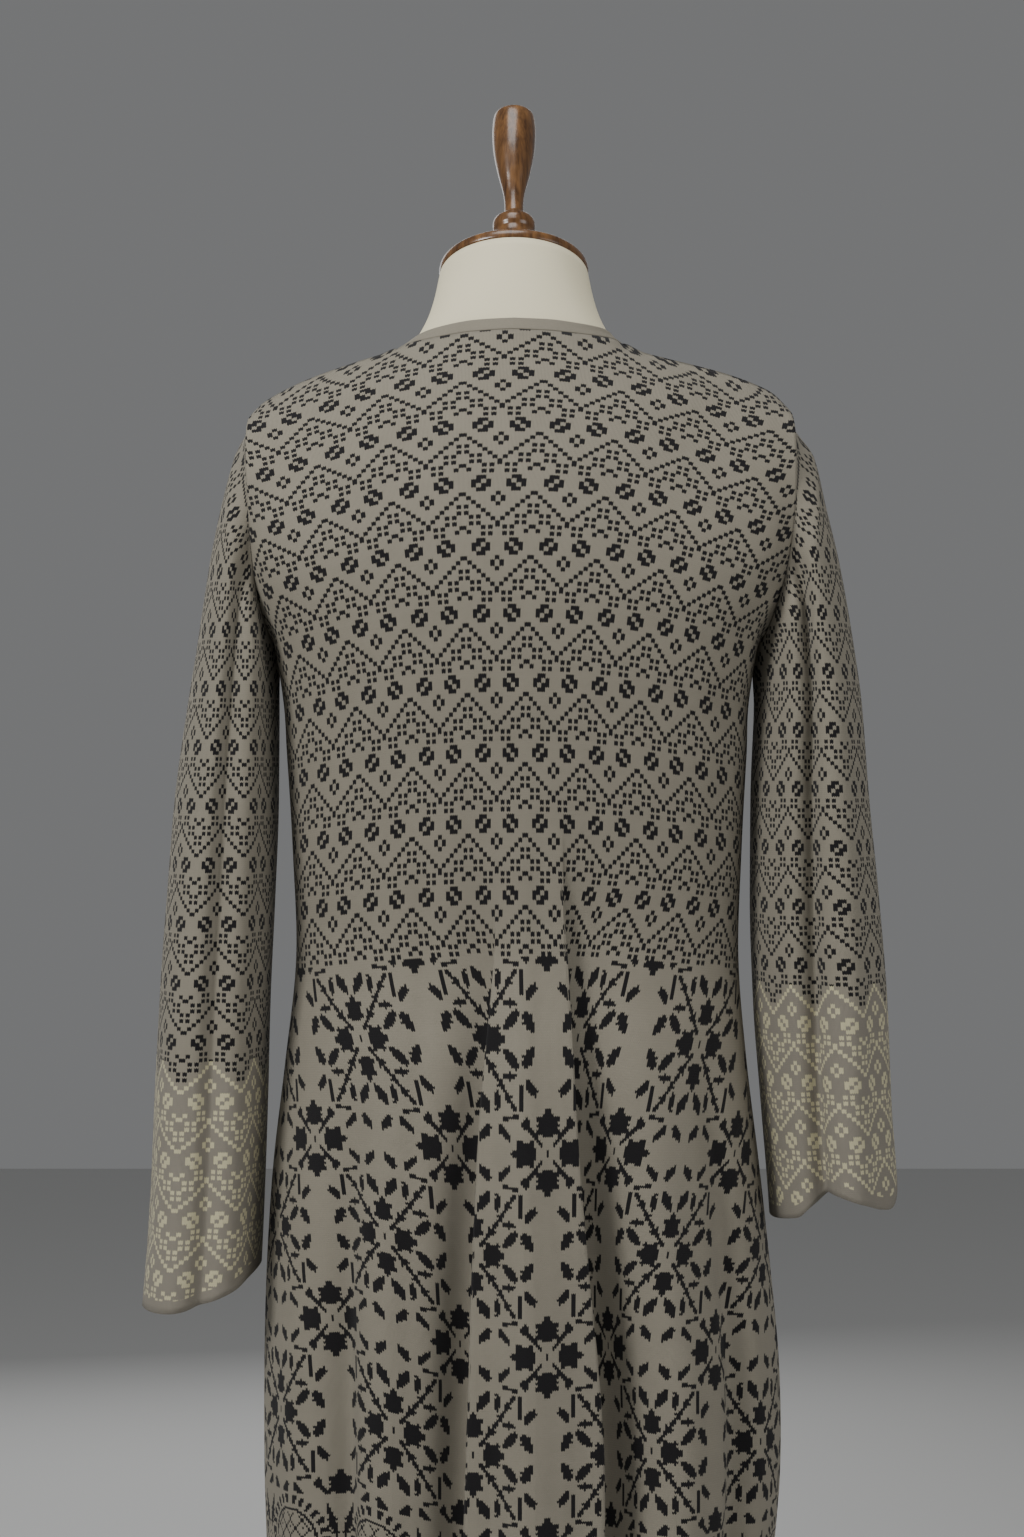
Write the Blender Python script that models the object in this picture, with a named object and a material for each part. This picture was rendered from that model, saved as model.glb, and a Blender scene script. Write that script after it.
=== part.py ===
"""Sweater dress worn on a limbless dress form with a pole and a round base.

Metres, Z up. The origin is on the floor at the centre of the base.
The front of the garment faces -Y and its back faces +Y, so +X is the wearer's left.
"""

import math
from collections import namedtuple

import bpy
import numpy as np
from mathutils import Vector
from mathutils.bvhtree import BVHTree

# Cloth
WALL = 0.0020
SEAM_GAP = 0.0006
REST_GAP = 0.0009
REST_SOFTNESS = 0.0015
REST_REACH = 4
SETTLE_PASSES = 8
RELAX_PASSES = 3
RELAX_SHARE = 0.6
# Shares of the four corners of a face at the spots where its clearance is tested
SPOTS = [
    (1, 0, 0, 0), (0, 1, 0, 0), (0, 0, 1, 0), (0, 0, 0, 1),
    (0.5, 0.5, 0, 0), (0.5, 0, 0.5, 0), (0, 0, 0.5, 0.5), (0, 0.5, 0, 0.5),
    (0.5, 0, 0, 0.5), (0, 0.5, 0.5, 0), (0.75, 0, 0, 0.25), (0.25, 0, 0, 0.75),
    (0, 0.75, 0.25, 0), (0, 0.25, 0.75, 0),
]

# Body panels
UNDERARM_Z = 1.213
HEM_Z = 0.405
HEM_WAVE = 0.004
LOWER_ROWS = 10
ARMHOLE_ROWS = 11
NECK_S = 0.44
TOP_FULLNESS = 0.80
TOP_ARC = math.radians(75.0)
TOP_BLEND = 2.5
HALF_COLUMNS = [
    0.0, 0.05, 0.10, 0.15, 0.20, 0.25, 0.31, 0.37, NECK_S,
    0.52, 0.60, 0.68, 0.76, 0.83, 0.89, 0.95, 1.0,
]
RIGHT_NECK_SCALE = 0.914

# Sleeves
SLEEVE_ROWS = 13
SLEEVE_ROW_POWER = 1.15
CAP_BLEND = 0.15
UNDERARM_BLEND = 0.06
CUFF_Z = 0.70

# Dress form and stand
FORM_COLUMNS = 36
NECK_TOP = (0.0, -0.045, 1.520)
NECK_TILT = math.radians(22.4)
ROUND_COLUMNS = 28
POLE_RADIUS = 0.0125
BASE_THICKNESS = 0.018
STACK_GAP = 0.0003

Body = namedtuple("Body", "z left right back front fullness")
BODY = [
    Body(1.215, 0.1870, -0.1900, 0.1150, -0.1270, 0.62),
    Body(1.175, 0.1832, -0.1880, 0.1120, -0.1240, 0.64),
    Body(1.095, 0.1792, -0.1840, 0.1020, -0.1140, 0.70),
    Body(0.991, 0.1728, -0.1784, 0.0960, -0.1060, 0.80),
    Body(0.935, 0.1776, -0.1816, 0.1080, -0.1080, 0.84),
    Body(0.895, 0.1816, -0.1848, 0.1190, -0.1130, 0.86),
    Body(0.815, 0.1912, -0.1944, 0.1300, -0.1210, 0.88),
    Body(0.735, 0.1968, -0.2032, 0.1360, -0.1270, 0.90),
    Body(0.655, 0.1992, -0.2112, 0.1400, -0.1320, 0.90),
    Body(0.575, 0.1992, -0.2128, 0.1420, -0.1360, 0.90),
    Body(0.505, 0.1968, -0.2064, 0.1440, -0.1390, 0.90),
    Body(0.400, 0.1980, -0.2060, 0.1460, -0.1420, 0.90),
]

# Height and depth of the centre line above the underarm
Centre = namedtuple("Centre", "z y")
BACK_CENTRE = [
    Centre(1.213, 0.115),
    Centre(1.250, 0.115),
    Centre(1.300, 0.112),
    Centre(1.330, 0.106),
    Centre(1.372, 0.091),
    Centre(1.413, 0.068),
    Centre(1.450, 0.042),
    Centre(1.466, 0.034),
]
FRONT_CENTRE = [
    Centre(1.213, -0.127),
    Centre(1.250, -0.125),
    Centre(1.300, -0.118),
    Centre(1.340, -0.109),
    Centre(1.381, -0.098),
]

# Armhole from the underarm (t 0) to the shoulder point (t 1)
Armhole = namedtuple("Armhole", "t left right back front z")
ARMHOLE = [
    Armhole(0.00, 0.1870, -0.1900, 0.000, 0.000, 1.213),
    Armhole(0.12, 0.1915, -0.1960, 0.026, -0.028, 1.221),
    Armhole(0.25, 0.1990, -0.2060, 0.046, -0.050, 1.246),
    Armhole(0.40, 0.2050, -0.2150, 0.055, -0.063, 1.283),
    Armhole(0.55, 0.2080, -0.2200, 0.054, -0.064, 1.320),
    Armhole(0.70, 0.2105, -0.2220, 0.046, -0.056, 1.355),
    Armhole(0.82, 0.2120, -0.2225, 0.032, -0.042, 1.381),
    Armhole(0.92, 0.2115, -0.2215, 0.014, -0.024, 1.398),
    Armhole(1.00, 0.2100, -0.2200, -0.008, -0.008, 1.405),
]

# Shoulder seam from the neck (f 0) to the shoulder point (f 1)
Shoulder = namedtuple("Shoulder", "f left left_z right right_z y")
SHOULDER = [
    Shoulder(0.00, 0.0930, 1.4565, -0.0850, 1.4600, -0.0130),
    Shoulder(0.20, 0.1135, 1.4508, -0.1110, 1.4525, -0.0120),
    Shoulder(0.40, 0.1385, 1.4425, -0.1375, 1.4460, -0.0110),
    Shoulder(0.60, 0.1640, 1.4330, -0.1640, 1.4390, -0.0100),
    Shoulder(0.80, 0.1885, 1.4215, -0.1900, 1.4300, -0.0090),
    Shoulder(0.93, 0.2040, 1.4115, -0.2110, 1.4190, -0.0085),
    Shoulder(1.00, 0.2100, 1.4050, -0.2200, 1.4090, -0.0080),
]

# Neckline from the centre (g 0) to the shoulder seam (g 1): seam edge and free edge of the band
Neckline = namedtuple("Neckline", "g x y z band_x band_y band_z")
BACK_NECKLINE = [
    Neckline(0.00, 0.0000, 0.0340, 1.4660, 0.0000, 0.0305, 1.4760),
    Neckline(0.35, 0.0330, 0.0305, 1.4650, 0.0310, 0.0270, 1.4748),
    Neckline(0.70, 0.0680, 0.0130, 1.4610, 0.0620, 0.0100, 1.4705),
    Neckline(1.00, 0.0930, -0.0130, 1.4565, 0.0825, -0.0140, 1.4640),
]
FRONT_NECKLINE = [
    Neckline(0.00, 0.0000, -0.0980, 1.3810, 0.0000, -0.0950, 1.3905),
    Neckline(0.30, 0.0330, -0.0950, 1.3850, 0.0310, -0.0915, 1.3945),
    Neckline(0.60, 0.0640, -0.0820, 1.4010, 0.0575, -0.0780, 1.4095),
    Neckline(0.82, 0.0830, -0.0560, 1.4250, 0.0740, -0.0530, 1.4320),
    Neckline(1.00, 0.0930, -0.0130, 1.4565, 0.0825, -0.0140, 1.4640),
]

# Folds of the skirt: depth is outward at the hem, widths are in s
Fold = namedtuple("Fold", "top_s hem_s start_z full_z top_width hem_width depth")
BACK_FOLDS = [
    Fold(0.135, 0.185, 1.100, 0.680, 0.045, 0.058, -0.026),
    Fold(-0.150, -0.235, 1.120, 0.680, 0.045, 0.062, -0.029),
    Fold(0.000, -0.025, 1.080, 0.600, 0.100, 0.110, 0.008),
    Fold(-0.350, -0.385, 1.020, 0.600, 0.110, 0.110, 0.010),
    Fold(0.460, 0.470, 0.980, 0.560, 0.090, 0.100, -0.008),
    Fold(0.640, 0.660, 0.960, 0.560, 0.110, 0.110, 0.005),
    Fold(-0.620, -0.620, 0.960, 0.560, 0.100, 0.110, -0.007),
]
FRONT_FOLDS = [
    Fold(0.180, 0.210, 1.000, 0.620, 0.070, 0.085, -0.011),
    Fold(-0.160, -0.190, 1.020, 0.640, 0.070, 0.085, -0.012),
    Fold(0.010, 0.015, 0.980, 0.600, 0.110, 0.120, 0.007),
    Fold(0.520, 0.540, 0.960, 0.580, 0.090, 0.100, -0.008),
    Fold(-0.500, -0.520, 0.960, 0.580, 0.090, 0.100, -0.008),
]

# Hanging sleeve sections
Sleeve = namedtuple("Sleeve", "z left_in left_out right_in right_out y half_depth")
SLEEVE = [
    Sleeve(1.410, 0.1850, 0.2100, -0.1900, -0.2200, -0.008, 0.030),
    Sleeve(1.385, 0.1870, 0.2184, -0.1920, -0.2310, -0.006, 0.045),
    Sleeve(1.366, 0.1880, 0.2240, -0.1930, -0.2405, -0.005, 0.055),
    Sleeve(1.328, 0.1880, 0.2336, -0.1940, -0.2490, -0.003, 0.066),
    Sleeve(1.287, 0.1880, 0.2416, -0.1940, -0.2585, 0.000, 0.072),
    Sleeve(1.250, 0.1880, 0.2475, -0.1935, -0.2655, 0.000, 0.076),
    Sleeve(1.213, 0.1882, 0.2530, -0.1930, -0.2715, 0.000, 0.079),
    Sleeve(1.175, 0.1880, 0.2592, -0.1925, -0.2768, 0.000, 0.082),
    Sleeve(1.095, 0.1885, 0.2704, -0.1895, -0.2832, 0.000, 0.085),
    Sleeve(1.015, 0.1915, 0.2768, -0.1890, -0.2912, 0.000, 0.087),
    Sleeve(0.935, 0.1952, 0.2832, -0.1915, -0.2976, 0.000, 0.089),
    Sleeve(0.855, 0.1972, 0.2888, -0.1975, -0.3008, 0.000, 0.090),
    Sleeve(0.775, 0.2000, 0.2928, -0.2040, -0.3060, 0.000, 0.091),
    Sleeve(0.690, 0.2040, 0.3008, -0.2090, -0.3070, 0.000, 0.092),
]

# Cuff height round the tube: 0 outward, 90 back, 180 toward the body, 270 front
Cuff = namedtuple("Cuff", "angle left right")
CUFF = [
    Cuff(0.0, 0.699, 0.799),
    Cuff(40.0, 0.699, 0.776),
    Cuff(75.0, 0.700, 0.784),
    Cuff(105.0, 0.706, 0.792),
    Cuff(135.0, 0.717, 0.770),
    Cuff(180.0, 0.725, 0.764),
    Cuff(270.0, 0.712, 0.778),
    Cuff(330.0, 0.702, 0.794),
    Cuff(360.0, 0.699, 0.799),
]

# Folds along the sleeves: depth is outward at full size, angles as for the cuff
Crease = namedtuple("Crease", "top_angle cuff_angle start_z full_z width depth")
LEFT_CREASES = [
    Crease(97.0, 100.0, 1.370, 1.260, 17.0, -0.007),
    Crease(125.0, 128.0, 1.330, 1.240, 18.0, 0.004),
    Crease(62.0, 68.0, 1.180, 0.900, 22.0, 0.004),
    Crease(258.0, 250.0, 1.320, 1.200, 18.0, -0.006),
    Crease(20.0, 12.0, 1.000, 0.780, 22.0, -0.004),
]
RIGHT_CREASES = [
    Crease(97.0, 112.0, 1.390, 1.200, 17.0, -0.013),
    Crease(66.0, 76.0, 1.250, 1.000, 20.0, 0.006),
    Crease(262.0, 255.0, 1.330, 1.180, 18.0, -0.007),
    Crease(330.0, 325.0, 1.100, 0.850, 22.0, -0.004),
]

# Dress form sections; lean is the rise of the section plane per metre toward the back
Form = namedtuple("Form", "z half_width side_y back front lean squareness")
FORM = [
    Form(0.800, 0.1640, 0.000, 0.0970, -0.0980, 0.000, 2.30),
    Form(0.812, 0.1675, 0.000, 0.0990, -0.1000, 0.000, 2.30),
    Form(0.835, 0.1690, 0.000, 0.1005, -0.1010, 0.000, 2.30),
    Form(0.870, 0.1690, 0.000, 0.1000, -0.1015, 0.000, 2.30),
    Form(0.920, 0.1640, 0.000, 0.0940, -0.0990, 0.000, 2.30),
    Form(0.980, 0.1510, 0.000, 0.0850, -0.0940, 0.000, 2.30),
    Form(1.040, 0.1370, 0.000, 0.0780, -0.0900, 0.000, 2.30),
    Form(1.085, 0.1340, 0.000, 0.0780, -0.0900, 0.000, 2.30),
    Form(1.130, 0.1410, 0.000, 0.0860, -0.0990, 0.000, 2.30),
    Form(1.180, 0.1530, 0.000, 0.0970, -0.1120, 0.000, 2.30),
    Form(1.220, 0.1630, 0.000, 0.1040, -0.1180, 0.000, 2.30),
    Form(1.260, 0.1730, 0.000, 0.1080, -0.1160, 0.000, 2.30),
    Form(1.300, 0.1830, -0.001, 0.1070, -0.1090, 0.000, 2.30),
    Form(1.335, 0.1910, -0.003, 0.1005, -0.1020, 0.000, 2.25),
    Form(1.365, 0.1955, -0.005, 0.0890, -0.0970, 0.000, 2.20),
    Form(1.385, 0.1965, -0.007, 0.0800, -0.0940, 0.000, 2.10),
    Form(1.400, 0.1940, -0.008, 0.0710, -0.0920, 0.020, 2.00),
    Form(1.411, 0.1870, -0.009, 0.0630, -0.0910, 0.040, 1.90),
    Form(1.421, 0.1745, -0.010, 0.0560, -0.0900, 0.060, 1.75),
    Form(1.430, 0.1560, -0.011, 0.0490, -0.0890, 0.080, 1.60),
    Form(1.438, 0.1330, -0.012, 0.0430, -0.0880, 0.110, 1.55),
    Form(1.445, 0.1120, -0.014, 0.0380, -0.0880, 0.140, 1.55),
    Form(1.452, 0.0940, -0.017, 0.0330, -0.0880, 0.170, 1.65),
    Form(1.460, 0.0830, -0.021, 0.0290, -0.0885, 0.200, 1.85),
    Form(1.470, 0.0760, -0.026, 0.0255, -0.0900, 0.250, 2.00),
    Form(1.482, 0.0700, -0.031, 0.0220, -0.0930, 0.310, 2.00),
    Form(1.498, 0.0650, -0.038, 0.0170, -0.0975, 0.370, 2.00),
    Form(1.520, 0.0605, -0.045, 0.0110, -0.1010, 0.412, 2.00),
]

# Turned profiles: radius and height along the axis
Turn = namedtuple("Turn", "radius height")
NECK_CAP = [
    Turn(0.0588, 0.0003),
    Turn(0.0604, 0.0016),
    Turn(0.0609, 0.0045),
    Turn(0.0604, 0.0072),
    Turn(0.0586, 0.0088),
    Turn(0.0480, 0.0110),
    Turn(0.0340, 0.0132),
    Turn(0.0270, 0.0140),
]
FINIAL = [
    Turn(0.0235, 0.0143),
    Turn(0.0240, 0.0165),
    Turn(0.0228, 0.0220),
    Turn(0.0192, 0.0300),
    Turn(0.0163, 0.0380),
    Turn(0.0158, 0.0420),
    Turn(0.0171, 0.0460),
    Turn(0.0174, 0.0500),
    Turn(0.0160, 0.0540),
    Turn(0.0108, 0.0575),
    Turn(0.0080, 0.0615),
    Turn(0.0077, 0.0680),
    Turn(0.0084, 0.0770),
    Turn(0.0103, 0.0869),
    Turn(0.0125, 0.0960),
    Turn(0.0142, 0.1043),
    Turn(0.0158, 0.1130),
    Turn(0.0170, 0.1217),
    Turn(0.0177, 0.1310),
    Turn(0.0179, 0.1395),
    Turn(0.0175, 0.1480),
    Turn(0.0166, 0.1545),
    Turn(0.0150, 0.1573),
    Turn(0.0120, 0.1585),
]
BASE = [
    Turn(0.1900, 0.0000),
    Turn(0.1920, 0.0020),
    Turn(0.1920, 0.0090),
    Turn(0.1880, 0.0130),
    Turn(0.1700, 0.0160),
    Turn(0.1300, BASE_THICKNESS),
]

Finish = namedtuple("Finish", "colour roughness metallic")
KNIT = Finish((0.24, 0.21, 0.17, 1.0), 0.95, 0.0)
RIB = Finish((0.27, 0.24, 0.19, 1.0), 0.95, 0.0)
JERSEY = Finish((0.66, 0.60, 0.45, 1.0), 0.90, 0.0)
DARK_WOOD = Finish((0.10, 0.04, 0.015, 1.0), 0.35, 0.0)
BLACK_METAL = Finish((0.03, 0.03, 0.03, 1.0), 0.45, 0.6)


def column(table, name):
    """One named column of a table as an array."""
    return np.array([getattr(row, name) for row in table])


def smooth(xs, ys, x):
    """Value at x of a smooth curve through the points that never overshoots them."""
    order = np.argsort(xs)
    xs, ys = np.asarray(xs, float)[order], np.asarray(ys, float)[order]
    steps = np.diff(xs)
    slopes = np.diff(ys) / steps
    tangents = np.zeros(len(xs))
    tangents[0], tangents[-1] = slopes[0], slopes[-1]
    for i in range(1, len(xs) - 1):
        if slopes[i - 1] * slopes[i] > 0:
            tangents[i] = 2 * slopes[i - 1] * slopes[i] / (slopes[i - 1] + slopes[i])
    x = float(np.clip(x, xs[0], xs[-1]))
    i = int(np.clip(np.searchsorted(xs, x) - 1, 0, len(xs) - 2))
    u = (x - xs[i]) / steps[i]
    start = (1 + 2 * u) * (1 - u) ** 2 * ys[i] + u * (1 - u) ** 2 * steps[i] * tangents[i]
    end = u * u * (3 - 2 * u) * ys[i + 1] - u * u * (1 - u) * steps[i] * tangents[i + 1]
    return start + end


def look(table, key, name, x):
    """Column `name` of a table at x of its column `key`."""
    return smooth(column(table, key), column(table, name), x)


def ease(start, full, x):
    """0 at start, 1 at full, smooth between."""
    u = float(np.clip((x - start) / (full - start), 0.0, 1.0))
    return u * u * (3 - 2 * u)


def unit(vectors):
    """The same vectors with length 1."""
    return vectors / np.linalg.norm(vectors, axis=-1, keepdims=True)


def section_point(left, right, far, arc, fullness, s):
    """Point at s of a curve from right (s -1) over far (s 0) to left (s 1)."""
    left, right, far = np.array(left), np.array(right), np.array(far)
    across = math.sin(s * arc) / math.sin(arc)
    rise = (math.cos(s * arc) - math.cos(arc)) / (1 - math.cos(arc))
    middle = (left + right) / 2
    return middle + (left - right) / 2 * across + (far - middle) * max(rise, 0.0) ** fullness


def armhole_point(side, face, t):
    """Point of the armhole seam: side is left or right, face is back or front."""
    x = look(ARMHOLE, "t", side, t)
    y = look(ARMHOLE, "t", face, t)
    z = look(ARMHOLE, "t", "z", t)
    tip = look(SHOULDER, "f", side + "_z", 1.0)
    return np.array([x, y, z + (tip - ARMHOLE[-1].z) * t])


def neck_point(table, s, free_edge):
    """Point of the neckline seam, or of the band's free edge, at |s| up to NECK_S."""
    g = abs(s) / NECK_S
    prefix = "band_" if free_edge else ""
    x, y, z = (look(table, "g", prefix + name, g) for name in "xyz")
    if s < 0:
        side_rise = (SHOULDER[0].right_z - SHOULDER[0].left_z) * g * g
        return np.array([-x * RIGHT_NECK_SCALE, y, z + side_rise])
    return np.array([x, y, z])


def top_point(face, s):
    """Upper boundary of a panel: neckline in the middle, shoulder seam at the sides."""
    if abs(s) <= NECK_S:
        return neck_point(NECKLINES[face], s, False)
    f = (abs(s) - NECK_S) / (1 - NECK_S)
    side = "left" if s > 0 else "right"
    x = look(SHOULDER, "f", side, f)
    z = look(SHOULDER, "f", side + "_z", f)
    return np.array([x, look(SHOULDER, "f", "y", f), z])


def upper_point(face, s, t):
    """Point of a panel above the underarm: t 0 at the underarm, 1 at the upper boundary."""
    centre = CENTRES[face]
    z = UNDERARM_Z + (centre[-1].z - UNDERARM_Z) * t
    arc = math.pi / 2 + (TOP_ARC - math.pi / 2) * t
    fullness = BODY[0].fullness + (TOP_FULLNESS - BODY[0].fullness) * t
    far = (0.0, look(centre, "z", "y", z), z)
    left, right = armhole_point("left", face, t), armhole_point("right", face, t)
    point = section_point(left, right, far, arc, fullness, s)
    tip_left, tip_right = armhole_point("left", face, 1), armhole_point("right", face, 1)
    top = section_point(tip_left, tip_right, (0.0, *centre[-1][::-1]), TOP_ARC, TOP_FULLNESS, s)
    return point + (top_point(face, s) - top) * t**TOP_BLEND


def hem_height(s):
    return HEM_Z + HEM_WAVE * math.cos(3 * math.pi * s)


def lower_point(face, s, u):
    """Point of a panel below the underarm: u 0 at the hem, 1 at the underarm."""
    z = hem_height(s) + (UNDERARM_Z - hem_height(s)) * u
    left = (look(BODY, "z", "left", z), 0.0, z)
    right = (look(BODY, "z", "right", z), 0.0, z)
    far = ((left[0] + right[0]) / 2, look(BODY, "z", face, z), z)
    return section_point(left, right, far, math.pi / 2, look(BODY, "z", "fullness", z), s)


def fold_depth(folds, s, z):
    """Outward push of all folds of a panel at this point."""
    total = 0.0
    for fold in folds:
        strength = ease(fold.start_z, fold.full_z, z)
        middle = fold.top_s + (fold.hem_s - fold.top_s) * strength
        width = fold.top_width + (fold.hem_width - fold.top_width) * strength
        total += fold.depth * strength * math.exp(-(((s - middle) / width) ** 2))
    return total


def grid_normals(grid, closed, flip):
    """Unit normals of a grid of points, rows by columns."""
    if closed:
        across = np.roll(grid, -1, axis=1) - np.roll(grid, 1, axis=1)
    else:
        across = np.gradient(grid, axis=1)
    along = np.gradient(grid, axis=0)
    normals = unit(np.cross(along, across))
    return -normals if flip else normals


def panel_columns():
    return [-s for s in reversed(HALF_COLUMNS[1:])] + HALF_COLUMNS


def panel_grid(face):
    """Outer surface of a panel, rows from the hem to the upper boundary."""
    rows = []
    for i in range(LOWER_ROWS):
        rows.append([lower_point(face, s, i / LOWER_ROWS) for s in panel_columns()])
    for i in range(ARMHOLE_ROWS + 1):
        rows.append([upper_point(face, s, i / ARMHOLE_ROWS) for s in panel_columns()])
    grid = np.array(rows)
    normals = grid_normals(grid, False, face == "front")
    for i in range(grid.shape[0]):
        for j, s in enumerate(panel_columns()):
            grid[i, j] += normals[i, j] * fold_depth(FOLDS[face], s, grid[i, j, 2])
    return grid


def form_grid():
    rows = []
    for form in FORM:
        row = []
        for i in range(FORM_COLUMNS):
            angle = 2 * math.pi * i / FORM_COLUMNS
            power = 2 / form.squareness
            x = form.half_width * math.copysign(abs(math.cos(angle)) ** power, math.cos(angle))
            lift = math.copysign(abs(math.sin(angle)) ** power, math.sin(angle))
            reach = form.back - form.side_y if lift > 0 else form.side_y - form.front
            y = form.side_y + reach * lift
            row.append((x, y, form.z + form.lean * (y - form.side_y)))
        rows.append(row)
    return np.array(rows)


def new_object(name, points, faces, finish):
    """Mesh object with its own material and smooth shading."""
    mesh = bpy.data.meshes.new(name)
    mesh.from_pydata([tuple(p) for p in points], [], faces)
    mesh.update()
    mesh.polygons.foreach_set("use_smooth", [len(face) <= 4 for face in faces])
    obj = bpy.data.objects.new(name, mesh)
    bpy.context.scene.collection.objects.link(obj)
    material = bpy.data.materials.new(name)
    material.use_nodes = True
    shader = material.node_tree.nodes["Principled BSDF"]
    shader.inputs["Base Color"].default_value = finish.colour
    shader.inputs["Roughness"].default_value = finish.roughness
    shader.inputs["Metallic"].default_value = finish.metallic
    mesh.materials.append(material)
    return obj


def tube_faces(rows, columns, start=0):
    """Faces between closed rings, facing out when the rings turn left going up."""
    faces = []
    for i in range(rows - 1):
        for j in range(columns):
            k = (j + 1) % columns
            low, high = start + i * columns, start + (i + 1) * columns
            faces.append((low + j, low + k, high + k, high + j))
    return faces


def solid_from_rings(name, grid, finish):
    """Closed solid from rings that turn left going up, with flat ends."""
    rows, columns = grid.shape[:2]
    faces = tube_faces(rows, columns)
    faces.append(tuple(reversed(range(columns))))
    faces.append(tuple(range((rows - 1) * columns, rows * columns)))
    return new_object(name, grid.reshape(-1, 3), faces, finish)


def turned(name, profile, finish, origin=(0.0, 0.0, 0.0), tilt=0.0):
    """Turned solid on an axis that leans toward the front by the tilt."""
    grid = np.zeros((len(profile), ROUND_COLUMNS, 3))
    for i, turn in enumerate(profile):
        for j in range(ROUND_COLUMNS):
            angle = 2 * math.pi * j / ROUND_COLUMNS
            x, y = turn.radius * math.cos(angle), turn.radius * math.sin(angle)
            lean_y = y * math.cos(tilt) - turn.height * math.sin(tilt)
            lean_z = y * math.sin(tilt) + turn.height * math.cos(tilt)
            grid[i, j] = (origin[0] + x, origin[1] + lean_y, origin[2] + lean_z)
    return solid_from_rings(name, grid, finish)


def signed_distance(tree, point):
    """Distance from the form, negative inside it, and the way out of it."""
    spot, normal, _, distance = tree.find_nearest(Vector(point))
    way = Vector(point) - spot
    inside = way.dot(normal) < 0
    if distance < 1e-9:
        return 0.0, np.array(normal)
    way = way.normalized()
    return (-distance, -np.array(way)) if inside else (distance, np.array(way))


def lift_off(tree, grid, clearance):
    """Moves points that are in or near the form out to the clearance, softly."""
    moved = grid.copy()
    for index in np.ndindex(grid.shape[:2]):
        distance, way = signed_distance(tree, grid[index])
        excess = (distance - clearance) / REST_SOFTNESS
        if excess < REST_REACH:
            soft = REST_SOFTNESS * math.log1p(math.exp(excess))
            moved[index] = grid[index] + way * (clearance + soft - distance)
    return moved


def relax(grid):
    """Evens out the yoke of a panel between its edges."""
    for _ in range(RELAX_PASSES):
        near = (grid[2:, 1:-1] + grid[:-2, 1:-1] + grid[1:-1, 2:] + grid[1:-1, :-2]) / 4
        share = np.zeros(grid.shape[0] - 2)
        share[LOWER_ROWS - 3:] = RELAX_SHARE
        grid = grid.copy()
        grid[1:-1, 1:-1] += (near - grid[1:-1, 1:-1]) * share[:, None, None]
    return grid


def face_lifts(tree, inner, closed):
    """Lifts that the corners need so that every face of an inner wall clears the form."""
    rows, columns = inner.shape[:2]
    lifts = np.zeros(inner.shape)
    for i in range(rows - 1):
        for j in range(columns if closed else columns - 1):
            k = (j + 1) % columns
            corners = [(i, j), (i, k), (i + 1, j), (i + 1, k)]
            for shares in SPOTS:
                spot = sum(share * inner[corner] for share, corner in zip(shares, corners))
                distance, way = signed_distance(tree, spot)
                if distance >= REST_GAP:
                    continue
                lift = way * (REST_GAP - distance)
                for share, corner in zip(shares, corners):
                    if share and np.linalg.norm(lift) > np.linalg.norm(lifts[corner]):
                        lifts[corner] = lift
    return lifts


def seam_indices():
    """Grid places where the back and the front share a seam: shoulders and sides."""
    top = LOWER_ROWS + ARMHOLE_ROWS
    columns = panel_columns()
    shoulder = [(top, j) for j, s in enumerate(columns) if abs(s) >= NECK_S]
    return shoulder + [(i, j) for i in range(LOWER_ROWS + 1) for j in (0, len(columns) - 1)]


def panel_normals(grids):
    """Outward normals of both panels, the same for both along their seams."""
    normals = {face: grid_normals(grids[face], False, face == "front") for face in grids}
    for index in seam_indices():
        normals["back"][index] = normals["front"][index] = unit(normals["back"][index] + normals["front"][index])
    return normals


def settle_panels(tree, grids):
    """Joins the seams of both panels and lifts them until every face clears the form."""
    for index in seam_indices():
        middle = (grids["back"][index] + grids["front"][index]) / 2
        grids["back"][index] = grids["front"][index] = middle
    for _ in range(SETTLE_PASSES):
        normals = panel_normals(grids)
        lifts = {face: face_lifts(tree, grids[face] - WALL * normals[face], False) for face in grids}
        if not lifts["back"].any() and not lifts["front"].any():
            break
        for index in seam_indices():
            larger = max(lifts, key=lambda face: np.linalg.norm(lifts[face][index]))
            lifts["back"][index] = lifts["front"][index] = lifts[larger][index]
        for face in grids:
            grids[face] = grids[face] + lifts[face]
    return grids


def seam_ways(edge, normals, inner):
    """Unit ways off a seam into its piece, square to the seam and to the shared normals."""
    ways = unit(np.cross(np.gradient(edge, axis=0), normals))
    return ways if np.sum(ways * (inner - edge)) > 0 else -ways


def cloth(name, outer, normals, wall, closed, finish):
    """Closed wall of cloth between the outer points and the points one wall inside them."""
    rows, columns = outer.shape[:2]
    inner = outer - wall * normals
    points = np.concatenate([outer.reshape(-1, 3), inner.reshape(-1, 3)])
    count = rows * columns
    faces = []
    spans = columns if closed else columns - 1
    for i in range(rows - 1):
        for j in range(spans):
            k = (j + 1) % columns
            a, b = i * columns + j, i * columns + k
            c, d = b + columns, a + columns
            faces += [(a, b, c), (a, c, d)]
            faces += [(count + c, count + b, count + a), (count + d, count + c, count + a)]
    for j in range(spans):
        k = (j + 1) % columns
        top_j, top_k = (rows - 1) * columns + j, (rows - 1) * columns + k
        faces.append((count + j, count + k, k, j))
        faces.append((top_j, top_k, count + top_k, count + top_j))
    if not closed:
        for i in range(rows - 1):
            first, above = i * columns, (i + 1) * columns
            last, last_above = above - 1, above + columns - 1
            faces.append((first, above, count + above, count + first))
            faces.append((last, count + last, count + last_above, last_above))
    return new_object(name, points, faces, finish)


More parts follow.
